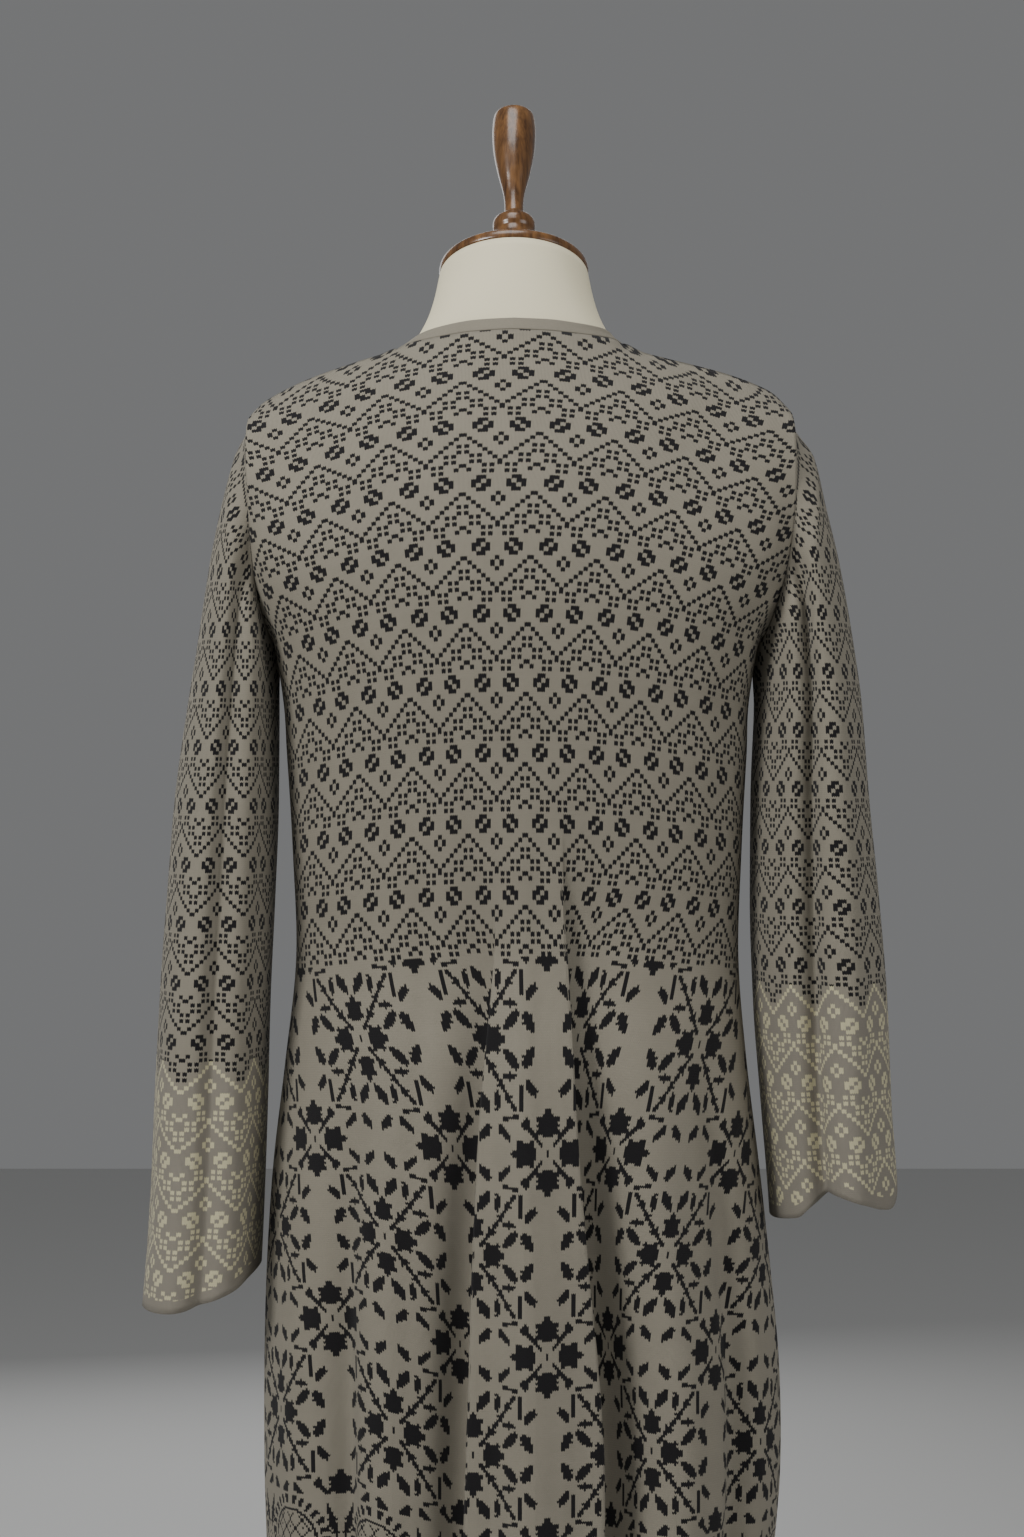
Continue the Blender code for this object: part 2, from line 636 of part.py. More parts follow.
def face_outward(obj):
    """Turns every face over when the mesh encloses a negative volume."""
    mesh = obj.data
    volume = 0.0
    for polygon in mesh.polygons:
        corners = [mesh.vertices[i].co for i in polygon.vertices]
        for i in range(1, len(corners) - 1):
            volume += corners[0].dot(corners[i].cross(corners[i + 1]))
    if volume < 0:
        mesh.flip_normals()


def sleeve_grid(side, armhole, angles):
    """Outer surface of a sleeve, rows from the armhole seam to the cuff."""
    creases = LEFT_CREASES if side == "left" else RIGHT_CREASES
    rows = []
    for i in range(SLEEVE_ROWS + 1):
        drop = (i / SLEEVE_ROWS) ** SLEEVE_ROW_POWER
        row = []
        for start, angle in zip(armhole, angles):
            z = start[2] + (look(CUFF, "angle", side, angle) - start[2]) * drop
            row.append(hanging_point(side, start, angle, z, creases))
        rows.append(row)
    return np.array(rows)


def hanging_point(side, start, angle, z, creases):
    """Sleeve point under an armhole point: leaves the seam and joins the hanging tube."""
    turn = math.radians(angle)
    inside = look(SLEEVE, "z", side + "_in", z)
    outside = look(SLEEVE, "z", side + "_out", z)
    half = (outside - inside) / 2
    depth = look(SLEEVE, "z", "half_depth", z)
    push = 0.0
    for crease in creases:
        strength = ease(crease.start_z, crease.full_z, z)
        middle = crease.top_angle + (crease.cuff_angle - crease.top_angle) * ease(crease.full_z, CUFF_Z, z)
        away = abs((angle - middle + 180) % 360 - 180)
        push += crease.depth * strength * math.exp(-((away / crease.width) ** 2))
    x = (inside + outside) / 2 + (half + math.copysign(push, half * push)) * math.cos(turn)
    y = look(SLEEVE, "z", "y", z) + (depth + push) * math.sin(turn)
    reach = UNDERARM_BLEND + (CAP_BLEND - UNDERARM_BLEND) * (1 + math.cos(turn)) / 2
    joined = ease(0.0, reach, start[2] - z)
    flat = np.array([x, y]) * joined + start[:2] * (1 - joined)
    return np.array([flat[0], flat[1], z])


NECKLINES = {"back": BACK_NECKLINE, "front": FRONT_NECKLINE}
CENTRES = {"back": BACK_CENTRE, "front": FRONT_CENTRE}
FOLDS = {"back": BACK_FOLDS, "front": FRONT_FOLDS}

for old in list(bpy.data.objects):
    bpy.data.objects.remove(old, do_unlink=True)

# Dress form, neck cap, finial and stand
form_points = form_grid()
form = solid_from_rings("form", form_points, JERSEY)
form_tree = BVHTree.FromPolygons(
    [Vector(v.co) for v in form.data.vertices], [tuple(p.vertices) for p in form.data.polygons]
)
turned("neck_cap", NECK_CAP, DARK_WOOD, NECK_TOP, NECK_TILT)
turned("finial", FINIAL, DARK_WOOD, NECK_TOP, NECK_TILT)
turned("base", BASE, BLACK_METAL)
pole = [Turn(POLE_RADIUS, BASE_THICKNESS + STACK_GAP), Turn(POLE_RADIUS, FORM[0].z - STACK_GAP)]
turned("pole", pole, BLACK_METAL)

# Panels, joined at their seams and moved clear of the form
TOP_ROW = LOWER_ROWS + ARMHOLE_ROWS
panels = {}
for face in ("back", "front"):
    panels[face] = relax(lift_off(form_tree, panel_grid(face), WALL + REST_GAP))
panels = settle_panels(form_tree, panels)
normals = panel_normals(panels)

side_normals = {face: normals[face].copy() for face in normals}
shifts = {face: np.zeros(panels[face].shape) for face in panels}
columns = panel_columns()
LAST = len(columns) - 1
neck_left, neck_right = columns.index(NECK_S), columns.index(-NECK_S)

# Sleeves start on the armhole points of the panels, with the seam normals shared
for side, edge, beside in (("left", LAST, LAST - 1), ("right", 0, 1)):
    seam = [("back", i) for i in range(LOWER_ROWS, TOP_ROW)]
    seam += [("front", i) for i in range(TOP_ROW, LOWER_ROWS, -1)]
    turns = [180.0 - 180.0 * i / ARMHOLE_ROWS for i in range(ARMHOLE_ROWS)]
    turns += [360.0 - 180.0 * i / ARMHOLE_ROWS for i in range(ARMHOLE_ROWS)]
    armhole = np.array([panels[face][i, edge] for face, i in seam])
    tube = sleeve_grid(side, armhole, turns)
    tube_normals = grid_normals(tube, True, side == "left")
    middles = {face: normals[face][:, edge].copy() for face in normals}
    for j, (face, i) in enumerate(seam):
        panel_way, tube_way = normals[face][i, edge].copy(), tube_normals[0, j].copy()
        middle = unit(panel_way + tube_way)
        leave = unit(panels[face][i, beside] - armhole[j]) + unit(tube[1, j] - armhole[j])
        joined = 1.0 if middle @ leave < 0 else max(float(panel_way @ tube_way), 0.0)
        tube_normals[0, j] = unit(tube_way + (middle - tube_way) * joined)
        normals[face][i, edge] = unit(panel_way + (middle - panel_way) * joined)
        middles[face][i] = middle
    normals["back"][TOP_ROW, edge] = normals["front"][TOP_ROW, edge]
    middles["back"][TOP_ROW] = middles["front"][TOP_ROW]
    middles["front"][LOWER_ROWS] = middles["back"][LOWER_ROWS]
    away = {}
    for face in ("back", "front"):
        arm = slice(LOWER_ROWS, TOP_ROW + 1)
        away[face] = seam_ways(panels[face][arm, edge], middles[face][arm], panels[face][arm, beside])
        shifts[face][arm, edge] += away[face]
        below = slice(0, LOWER_ROWS + 1)
        shifts[face][below, edge] += seam_ways(
            panels[face][below, edge], side_normals[face][below, edge], panels[face][below, beside]
        )
    for j, (face, i) in enumerate(seam):
        tube[0, j] -= away[face][i - LOWER_ROWS] * SEAM_GAP / 2
    face_outward(cloth("sleeve_" + side, tube, tube_normals, WALL, True, KNIT))

# Neckband, its first row on the neckline points of the panels, with the normals shared
neck = slice(neck_right, neck_left + 1)
ring = range(neck_right, neck_left + 1)
places = [("back", j) for j in ring[:-1]] + [("front", j) for j in ring[:0:-1]]
low = np.array([panels[face][TOP_ROW, j] for face, j in places])
high = np.array([neck_point(NECKLINES[face], columns[j], True) for face, j in places])
band = np.array([low, (low + high) / 2, high])
band[1:] = lift_off(form_tree, band[1:], WALL + REST_GAP)
for _ in range(SETTLE_PASSES):
    band_normals = grid_normals(band, True, False)
    beside = np.roll(band_normals, 1, axis=1) + np.roll(band_normals, -1, axis=1)
    band_normals = unit(band_normals + beside / 2)
    band_normals[0] = unit(band_normals[0] + [normals[face][TOP_ROW, j] for face, j in places])
    band[1:] += face_lifts(form_tree, band - WALL * band_normals, True)[1:]
for way, (face, j) in zip(band_normals[0], places):
    normals[face][TOP_ROW, j] = way
normals["front"][TOP_ROW, neck_right] = normals["back"][TOP_ROW, neck_right]
normals["back"][TOP_ROW, neck_left] = normals["front"][TOP_ROW, neck_left]

# Panels, drawn in from the shoulder seams and the neckline
neck_ways = {}
for face in ("back", "front"):
    edge, inside = panels[face][TOP_ROW], panels[face][TOP_ROW - 1]
    for part in (slice(0, neck_right + 1), slice(neck_left, LAST + 1)):
        shifts[face][TOP_ROW, part] += seam_ways(edge[part], normals[face][TOP_ROW, part], inside[part])
    neck_ways[face] = seam_ways(edge[neck], normals[face][TOP_ROW, neck], inside[neck])
    shifts[face][TOP_ROW, neck] += neck_ways[face]
    outer = panels[face] + shifts[face] * SEAM_GAP / 2
    face_outward(cloth(face, outer, normals[face], WALL, False, KNIT))
for i, (face, j) in enumerate(places):
    band[0, i] -= neck_ways[face][j - neck_right] * SEAM_GAP / 2
face_outward(cloth("neckband", band, band_normals, WALL, True, RIB))
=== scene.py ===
"""Looks of the sweater dress and its dress form: knitted shells, wood, jersey and the photo's view.

Metres, Z up, in the frame of the part. The back of the garment faces +Y and +X is the wearer's left.
"""

import math
from collections import namedtuple

import bpy
import numpy as np
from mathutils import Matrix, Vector
from mathutils.bvhtree import BVHTree


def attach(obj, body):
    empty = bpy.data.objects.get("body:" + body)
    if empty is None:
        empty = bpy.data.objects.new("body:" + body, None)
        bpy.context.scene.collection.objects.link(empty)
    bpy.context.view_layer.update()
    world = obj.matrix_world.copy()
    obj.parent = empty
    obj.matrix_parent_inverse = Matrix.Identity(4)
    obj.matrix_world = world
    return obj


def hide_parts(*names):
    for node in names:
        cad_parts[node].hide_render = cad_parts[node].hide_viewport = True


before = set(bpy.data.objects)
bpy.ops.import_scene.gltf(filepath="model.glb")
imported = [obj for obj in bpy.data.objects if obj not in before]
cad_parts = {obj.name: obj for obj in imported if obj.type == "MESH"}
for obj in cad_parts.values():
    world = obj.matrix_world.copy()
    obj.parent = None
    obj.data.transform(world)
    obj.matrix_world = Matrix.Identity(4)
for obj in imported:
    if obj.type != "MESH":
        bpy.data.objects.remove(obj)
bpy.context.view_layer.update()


def table(columns, *rows):
    """Rows of values whose columns have names."""
    row_type = namedtuple("Row", columns)
    return [row_type(*row) for row in rows]


# Cloth
WALL = 0.0016
EDGE_WALL = 0.0007
EDGE_ROWS = 4
SEAM_GAP = 0.0002
REST_GAP = 0.0004
REST_SOFTNESS = 0.0015
REST_REACH = 4
SOLID_CLEARANCE = 0.0029
RELAX_PASSES = 3
RELAX_SHARE = 0.6

# Body panels
UNDERARM_Z = 1.213
HEM_Z = 0.405
HEM_WAVE = 0.004
LOWER_ROWS = 10
ARMHOLE_ROWS = 11
LOWER_STEP = 0.0808
UPPER_STEP = 0.023
NECK_S = 0.44
TOP_FULLNESS = 0.80
TOP_ARC = math.radians(75.0)
TOP_BLEND = 2.5
HALF_COLUMNS = [
    0.0, 0.05, 0.10, 0.15, 0.20, 0.25, 0.31, 0.37, NECK_S,
    0.52, 0.60, 0.68, 0.76, 0.83, 0.89, 0.95, 1.0,
]
COLUMNS = [-s for s in reversed(HALF_COLUMNS[1:])] + HALF_COLUMNS
RIGHT_NECK_SCALE = 0.914
FINE_LOWER_ROWS = 100
FINE_ARMHOLE_ROWS = 55
FINE_NECK_COLUMNS = 84
FINE_SIDE_COLUMNS = 48
FINE_HALF_COLUMNS = FINE_NECK_COLUMNS + FINE_SIDE_COLUMNS
TOP_ROW = FINE_LOWER_ROWS + FINE_ARMHOLE_ROWS
LAST = 2 * FINE_HALF_COLUMNS
BAND_ROWS = 8

# Sleeves
FINE_SLEEVE_ROWS = 130
SLEEVE_ROW_POWER = 1.15
CAP_BLEND = 0.030
UNDERARM_BLEND = 0.06
CREASE_END_Z = 0.7

# Dress form
FORM_COLUMNS = 96
FORM_ROWS = 150
NECK_TOP = (0.0, -0.045, 1.520)
NECK_TILT = math.radians(22.4)
ROUND_COLUMNS = 96
TURN_DETAIL = 8
POLE_RADIUS = 0.0125
BASE_THICKNESS = 0.018
STACK_GAP = 0.0003

# Knit: on the sleeves one stitch is this wide and one row this high
STITCH = 0.00188
ROW = 0.00152
# Stitches and rows of the repeats; the flowers' repeat is mirrored both ways, so this is half of it
MOTIF_WIDTH = 29
MOTIF_ROWS = 30
FLOWER_COLUMNS = 35
FLOWER_ROWS = 43
BORDER_WIDTH = 52
BORDER_ROWS = 45
CUFF_EDGE_ROWS = 6.5
# Rows of the body where the skirt starts, where a large flower has its middle and where the border starts
CHANGE_ROW = 291.0
FLOWER_ROW = 365.0
BORDER_ROW = 531.0
# Middle of that flower on the back
FLOWER_X = -0.0248
FLOWER_Z = 0.8305
# Colour ramps hold a chart: so many columns in each ramp, so many rows in each of its colours
STOPS = 18
BITS = 15
# Slope of the legs of a stitch's V, in rows for each stitch, and how far its middle lies below the line
V_SLOPE = 1.3
V_DROP = 0.32

# Colours
GROUND = (0.300, 0.273, 0.215)
CUFF_GROUND = (0.275, 0.250, 0.205)
BLACK = (0.012, 0.011, 0.012)
CREAM = (0.64, 0.59, 0.38)
IVORY = ((0.82, 0.75, 0.52), (0.90, 0.83, 0.60))
WOOD = ((0.062, 0.026, 0.009), (0.235, 0.112, 0.038))
PAINT = ((0.018, 0.018, 0.019), (0.030, 0.030, 0.032))
FLOOR = (0.62, 0.62, 0.61, 1.0)
SKY = (0.80, 0.81, 0.82, 1.0)
SKY_STRENGTH = 0.22

# The photo's view
LENS = 70.27
CAMERA_PLACE = (0.0016, 2.4, 1.12)
FLOOR_HALF = 6.0
FLOOR_Z = -0.0005

BODY = table(
    "z left right back front fullness",
    (1.215, 0.187, -0.19, 0.115, -0.127, 0.62),
    (1.175, 0.1832, -0.188, 0.112, -0.124, 0.64),
    (1.095, 0.1792, -0.184, 0.102, -0.114, 0.7),
    (0.991, 0.1728, -0.1784, 0.096, -0.106, 0.8),
    (0.935, 0.1776, -0.1816, 0.108, -0.108, 0.84),
    (0.895, 0.1816, -0.1848, 0.119, -0.113, 0.86),
    (0.815, 0.1912, -0.1944, 0.13, -0.121, 0.88),
    (0.735, 0.1968, -0.2032, 0.136, -0.127, 0.9),
    (0.655, 0.1992, -0.2112, 0.14, -0.132, 0.9),
    (0.575, 0.1992, -0.2128, 0.142, -0.136, 0.9),
    (0.505, 0.1968, -0.2064, 0.144, -0.139, 0.9),
    (0.4, 0.198, -0.206, 0.146, -0.142, 0.9),
)

BACK_CENTRE = table(
    "z y",
    (1.213, 0.115),
    (1.25, 0.115),
    (1.3, 0.112),
    (1.33, 0.106),
    (1.372, 0.091),
    (1.413, 0.068),
    (1.45, 0.042),
    (1.466, 0.034),
)
FRONT_CENTRE = table(
    "z y",
    (1.213, -0.127),
    (1.25, -0.125),
    (1.3, -0.118),
    (1.34, -0.109),
    (1.381, -0.098),
)

ARMHOLE = table(
    "t left right back front z",
    (0.0, 0.187, -0.19, 0.0, 0.0, 1.213),
    (0.12, 0.1915, -0.196, 0.026, -0.028, 1.221),
    (0.25, 0.199, -0.206, 0.046, -0.05, 1.246),
    (0.4, 0.205, -0.215, 0.055, -0.063, 1.283),
    (0.55, 0.208, -0.22, 0.054, -0.064, 1.32),
    (0.7, 0.2105, -0.222, 0.046, -0.056, 1.355),
    (0.82, 0.212, -0.2225, 0.032, -0.042, 1.381),
    (0.92, 0.2115, -0.2215, 0.014, -0.024, 1.398),
    (1.0, 0.21, -0.22, -0.008, -0.008, 1.405),
)

SHOULDER = table(
    "f left left_z right right_z y",
    (0.0, 0.093, 1.4565, -0.085, 1.46, -0.013),
    (0.2, 0.1135, 1.4508, -0.111, 1.4525, -0.012),
    (0.4, 0.1385, 1.4425, -0.1375, 1.446, -0.011),
    (0.6, 0.164, 1.433, -0.164, 1.439, -0.01),
    (0.8, 0.1885, 1.4215, -0.19, 1.43, -0.009),
    (0.93, 0.204, 1.4115, -0.211, 1.419, -0.0085),
    (1.0, 0.21, 1.405, -0.22, 1.409, -0.008),
)

BACK_NECKLINE = table(
    "g x y z band_x band_y band_z",
    (0.0, 0.0, 0.034, 1.466, 0.0, 0.0305, 1.476),
    (0.35, 0.033, 0.0305, 1.465, 0.031, 0.027, 1.4748),
    (0.7, 0.068, 0.013, 1.461, 0.062, 0.01, 1.4705),
    (1.0, 0.093, -0.013, 1.4565, 0.0825, -0.014, 1.464),
)
FRONT_NECKLINE = table(
    "g x y z band_x band_y band_z",
    (0.0, 0.0, -0.098, 1.381, 0.0, -0.095, 1.3905),
    (0.3, 0.033, -0.095, 1.385, 0.031, -0.0915, 1.3945),
    (0.6, 0.064, -0.082, 1.401, 0.0575, -0.078, 1.4095),
    (0.82, 0.083, -0.056, 1.425, 0.074, -0.053, 1.432),
    (1.0, 0.093, -0.013, 1.4565, 0.0825, -0.014, 1.464),
)

# Folds of the skirt: depth is outward, widths are in s toward the wearer's right and left,
# and hidden is the width of cloth, in metres, gathered into the fold at full size
BACK_FOLDS = table(
    "top_s hem_s start_z full_z right_width left_width depth hidden",
    (0.102, 0.158, 1.13, 0.62, 0.027, 0.085, -0.032, 0.006),
    (-0.168, -0.216, 1.13, 0.62, 0.105, 0.027, -0.037, 0.036),
    (-0.033, -0.028, 1.14, 0.78, 0.088, 0.088, 0.016, 0.0),
    (-0.35, -0.385, 1.02, 0.6, 0.1, 0.1, 0.011, 0.0),
    (0.33, 0.345, 1.0, 0.6, 0.06, 0.08, 0.005, 0.0),
    (0.46, 0.47, 0.98, 0.56, 0.045, 0.06, -0.014, 0.0),
    (0.62, 0.64, 0.96, 0.56, 0.09, 0.09, 0.006, 0.0),
    (-0.6, -0.62, 0.98, 0.6, 0.055, 0.06, -0.014, 0.0),
    (0.055, 0.06, 1.15, 0.98, 0.03, 0.03, -0.0022, 0.0),
    (-0.06, -0.06, 1.16, 1.0, 0.03, 0.03, -0.002, 0.0),
    (0.27, 0.28, 1.12, 0.96, 0.035, 0.035, -0.002, 0.0),
)
# Folds move sideways from top_s to hem_s between these heights
FOLD_PATH = (0.95, 0.52)
# Edges of the pleat between the two deep folds: the cloth turns under them by this shift
BACK_TUCKS = table(
    "top_s hem_s start_z full_z width shift",
    (0.064, 0.118, 1.06, 0.84, 0.014, 0.011),
    (-0.126, -0.174, 1.12, 0.88, 0.015, 0.011),
)
FRONT_FOLDS = table(
    "top_s hem_s start_z full_z right_width left_width depth hidden",
    (0.18, 0.21, 1.0, 0.62, 0.06, 0.085, -0.013, 0.0),
    (-0.16, -0.19, 1.02, 0.64, 0.085, 0.06, -0.014, 0.0),
    (0.01, 0.015, 0.98, 0.6, 0.11, 0.12, 0.008, 0.0),
    (0.52, 0.54, 0.96, 0.58, 0.09, 0.08, -0.01, 0.0),
    (-0.5, -0.52, 0.96, 0.58, 0.08, 0.09, -0.01, 0.0),
    (0.06, 0.07, 1.15, 0.98, 0.035, 0.035, -0.002, 0.0),
    (-0.08, -0.07, 1.14, 0.98, 0.035, 0.035, -0.0022, 0.0),
)

NECKLINES = {"back": BACK_NECKLINE, "front": FRONT_NECKLINE}
CENTRES = {"back": BACK_CENTRE, "front": FRONT_CENTRE}
FOLDS = {"back": BACK_FOLDS, "front": FRONT_FOLDS}
TUCKS = {"back": BACK_TUCKS, "front": []}
# Where the rise of the rows on the wearer's left starts and is full, in s
LEFT_RISE = {"back": (0.10, 0.45), "front": (0.45, 1.0)}

SLEEVE = table(
    "z left_in left_out right_in right_out y half_depth",
    (1.41, 0.185, 0.21, -0.19, -0.22, -0.008, 0.03),
    (1.385, 0.187, 0.2184, -0.192, -0.231, -0.006, 0.045),
    (1.366, 0.188, 0.224, -0.193, -0.2405, -0.005, 0.055),
    (1.328, 0.188, 0.2336, -0.194, -0.249, -0.003, 0.066),
    (1.287, 0.188, 0.2416, -0.194, -0.2585, 0.0, 0.072),
    (1.25, 0.188, 0.2475, -0.1935, -0.2655, 0.0, 0.076),
    (1.213, 0.1882, 0.253, -0.193, -0.2715, 0.0, 0.079),
    (1.175, 0.188, 0.2592, -0.1925, -0.2768, 0.0, 0.082),
    (1.095, 0.1885, 0.2704, -0.1895, -0.2832, 0.0, 0.085),
    (1.015, 0.1915, 0.2768, -0.189, -0.2912, 0.0, 0.087),
    (0.935, 0.1952, 0.2832, -0.1915, -0.2976, 0.0, 0.089),
    (0.855, 0.1972, 0.2888, -0.1975, -0.3008, 0.0, 0.09),
    (0.775, 0.2, 0.2928, -0.204, -0.306, 0.0, 0.091),
    (0.69, 0.204, 0.3008, -0.209, -0.307, 0.0, 0.092),
)

# Cuff height round the tube: 0 outward, 90 back, 180 toward the body, 270 front
CUFF = table(
    "angle left right",
    (0.0, 0.699, 0.799),
    (40.0, 0.699, 0.776),
    (75.0, 0.7, 0.784),
    (105.0, 0.706, 0.792),
    (135.0, 0.717, 0.77),
    (180.0, 0.725, 0.764),
    (270.0, 0.712, 0.778),
    (330.0, 0.702, 0.794),
    (360.0, 0.699, 0.799),
)

LEFT_CREASES = table(
    "top_angle cuff_angle start_z full_z width depth",
    (97.0, 100.0, 1.39, 1.3, 10.0, -0.011),
    (122.0, 128.0, 1.34, 1.25, 14.0, 0.006),
    (62.0, 68.0, 1.18, 0.9, 20.0, 0.0045),
    (258.0, 250.0, 1.32, 1.2, 15.0, -0.0065),
    (20.0, 12.0, 1.0, 0.78, 20.0, -0.0045),
    (80.0, 86.0, 1.0, 0.86, 9.0, -0.002),
)
RIGHT_CREASES = table(
    "top_angle cuff_angle start_z full_z width depth",
    (97.0, 112.0, 1.395, 1.26, 9.5, -0.019),
    (70.0, 84.0, 1.28, 1.05, 16.0, 0.008),
    (262.0, 255.0, 1.33, 1.18, 15.0, -0.0075),
    (330.0, 325.0, 1.1, 0.85, 20.0, -0.0045),
    (50.0, 54.0, 1.05, 0.88, 10.0, -0.0022),
)

# The panels' column that each sleeve is sewn to, and a tip of its cuff's zigzag on the back
SLEEVE_TIPS = table(
    "side edge tip_z tip_x",
    ("left", LAST, 0.869, 0.2575),
    ("right", 0, 0.928, -0.269),
)

FORM = table(
    "z half_width side_y back front lean squareness",
    (0.8, 0.164, 0.0, 0.097, -0.098, 0.0, 2.3),
    (0.812, 0.1675, 0.0, 0.099, -0.1, 0.0, 2.3),
    (0.835, 0.169, 0.0, 0.1005, -0.101, 0.0, 2.3),
    (0.87, 0.169, 0.0, 0.1, -0.1015, 0.0, 2.3),
    (0.92, 0.164, 0.0, 0.094, -0.099, 0.0, 2.3),
    (0.98, 0.151, 0.0, 0.085, -0.094, 0.0, 2.3),
    (1.04, 0.137, 0.0, 0.078, -0.09, 0.0, 2.3),
    (1.085, 0.134, 0.0, 0.078, -0.09, 0.0, 2.3),
    (1.13, 0.141, 0.0, 0.086, -0.099, 0.0, 2.3),
    (1.18, 0.153, 0.0, 0.097, -0.112, 0.0, 2.3),
    (1.22, 0.163, 0.0, 0.104, -0.118, 0.0, 2.3),
    (1.26, 0.173, 0.0, 0.108, -0.116, 0.0, 2.3),
    (1.3, 0.183, -0.001, 0.107, -0.109, 0.0, 2.3),
    (1.335, 0.191, -0.003, 0.1005, -0.102, 0.0, 2.25),
    (1.365, 0.1955, -0.005, 0.089, -0.097, 0.0, 2.2),
    (1.385, 0.1965, -0.007, 0.08, -0.094, 0.0, 2.1),
    (1.4, 0.194, -0.008, 0.071, -0.092, 0.02, 2.0),
    (1.411, 0.187, -0.009, 0.063, -0.091, 0.04, 1.9),
    (1.421, 0.1745, -0.01, 0.056, -0.09, 0.06, 1.75),
    (1.43, 0.156, -0.011, 0.049, -0.089, 0.08, 1.6),
    (1.438, 0.133, -0.012, 0.043, -0.088, 0.11, 1.55),
    (1.445, 0.112, -0.014, 0.038, -0.088, 0.14, 1.55),
    (1.452, 0.094, -0.017, 0.033, -0.088, 0.17, 1.65),
    (1.46, 0.083, -0.021, 0.029, -0.0885, 0.2, 1.85),
    (1.47, 0.076, -0.026, 0.0255, -0.09, 0.25, 2.0),
    (1.482, 0.07, -0.031, 0.022, -0.093, 0.31, 2.0),
    (1.498, 0.065, -0.038, 0.017, -0.0975, 0.37, 2.0),
    (1.52, 0.0605, -0.045, 0.011, -0.101, 0.412, 2.0),
)

NECK_CAP = table(
    "radius height",
    (0.0588, 0.0003),
    (0.0604, 0.0016),
    (0.0609, 0.0045),
    (0.0604, 0.0072),
    (0.0586, 0.0088),
    (0.048, 0.011),
    (0.034, 0.0132),
    (0.027, 0.014),
)
FINIAL = table(
    "radius height",
    (0.0235, 0.0143),
    (0.024, 0.0165),
    (0.0228, 0.022),
    (0.0192, 0.03),
    (0.0163, 0.038),
    (0.0158, 0.042),
    (0.0171, 0.046),
    (0.0174, 0.05),
    (0.016, 0.054),
    (0.0108, 0.0575),
    (0.008, 0.0615),
    (0.0077, 0.068),
    (0.0084, 0.077),
    (0.0103, 0.0869),
    (0.0125, 0.096),
    (0.0142, 0.1043),
    (0.0158, 0.113),
    (0.017, 0.1217),
    (0.0177, 0.131),
    (0.0179, 0.1395),
    (0.0175, 0.148),
    (0.0166, 0.1545),
    (0.015, 0.1573),
    (0.012, 0.1585),
)
BASE = table(
    "radius height",
    (0.19, 0.0),
    (0.192, 0.002),
    (0.192, 0.009),
    (0.188, 0.013),
    (0.17, 0.016),
    (0.13, BASE_THICKNESS),
)

POLE = table(
    "radius height",
    (POLE_RADIUS, BASE_THICKNESS + STACK_GAP),
    (POLE_RADIUS, FORM[0].z - STACK_GAP),
)

# Height on the centre of the back at which a knitted row lies, counted down from the neck
ROW_HEIGHTS = table(
    "z row",
    (1.48, -8.5),
    (1.46, 3.5),
    (1.4187, 33.5),
    (1.3747, 63.5),
    (1.3269, 93.5),
    (1.277, 123.5),
    (1.2255, 153.5),
    (0.9762, CHANGE_ROW),
    (FLOWER_Z, FLOWER_ROW),
    (0.6795, 451.0),
    (0.54, BORDER_ROW),
    (0.39, 619.0),
)
# Width of one stitch of the body: the shoulders stretch the yoke
STITCH_WIDTHS = table(
    "z width",
    (1.46, 0.00226),
    (1.431, 0.00221),
    (1.388, 0.00207),
    (1.34, 0.00193),
    (1.289, 0.00178),
    (1.234, 0.00164),
    (1.179, 0.00154),
    (1.121, 0.0015),
    (1.0, 0.00157),
    (0.92, 0.00168),
    (0.4, 0.00172),
)
# How far the rows hang down toward the sides, and how far they rise on the wearer's left
DROOP_POWER = 2.2
DROOPS = table(
    "z side left_rise",
    (1.46, 0.0385, 0.0),
    (1.35, 0.0385, 0.0),
    (1.21, 0.03, 0.0),
    (0.97, 0.015, 0.0),
    (0.83, 0.012, 0.012),
    (0.69, 0.009, 0.024),
    (0.4, 0.008, 0.03),
)
# Sideways place of the column of small rings in the middle of the back
AXES = table(
    "z x",
    (1.46, 0.007),
    (1.4187, 0.0086),
    (1.3747, 0.01),
    (1.3269, 0.0122),
    (1.277, 0.013),
    (1.2255, 0.0133),
    (0.4, 0.0133),
)

LAMPS = table(
    "name place target size power",
    ("key", (1.9, 1.8, 2.2), (0.0, 0.0, 1.05), 0.8, 44.0),
    ("fill", (-2.4, 1.9, 1.6), (0.0, 0.0, 1.05), 1.6, 24.0),
    ("top", (0.2, 0.7, 2.9), (0.0, 0.0, 1.3), 1.0, 16.0),
    ("front", (0.6, -2.8, 1.9), (0.0, 0.0, 1.05), 2.4, 24.0),
)

# Flower chart, in stitches and rows from the middle of a large flower; the small one is at the far corner
PETALS = table(
    "centre way length width",
    ((10.2, 0.0), (1, 0), 6.5, 6.2),
    ((0.0, 11.0), (0, 1), 6.2, 6.6),
    ((FLOWER_COLUMNS - 8.6, FLOWER_ROWS), (-1, 0), 5.7, 6.0),
    ((FLOWER_COLUMNS, FLOWER_ROWS - 11.8), (0, -1), 5.9, 5.1),
)
STEMS = table(
    "start end width thorns",
    ((2.8, 3.2), (11.2, 12.6), 0.95, (0.86, 1.0)),
    ((FLOWER_COLUMNS - 3.0, FLOWER_ROWS - 3.8), (15.0, 16.8), 0.9, (0.3, 0.55, 0.8)),
    ((14.2, 14.4), (21.4, 13.5), 0.85, ()),
    ((12.6, 16.4), (12.5, 26.4), 0.75, ()),
)
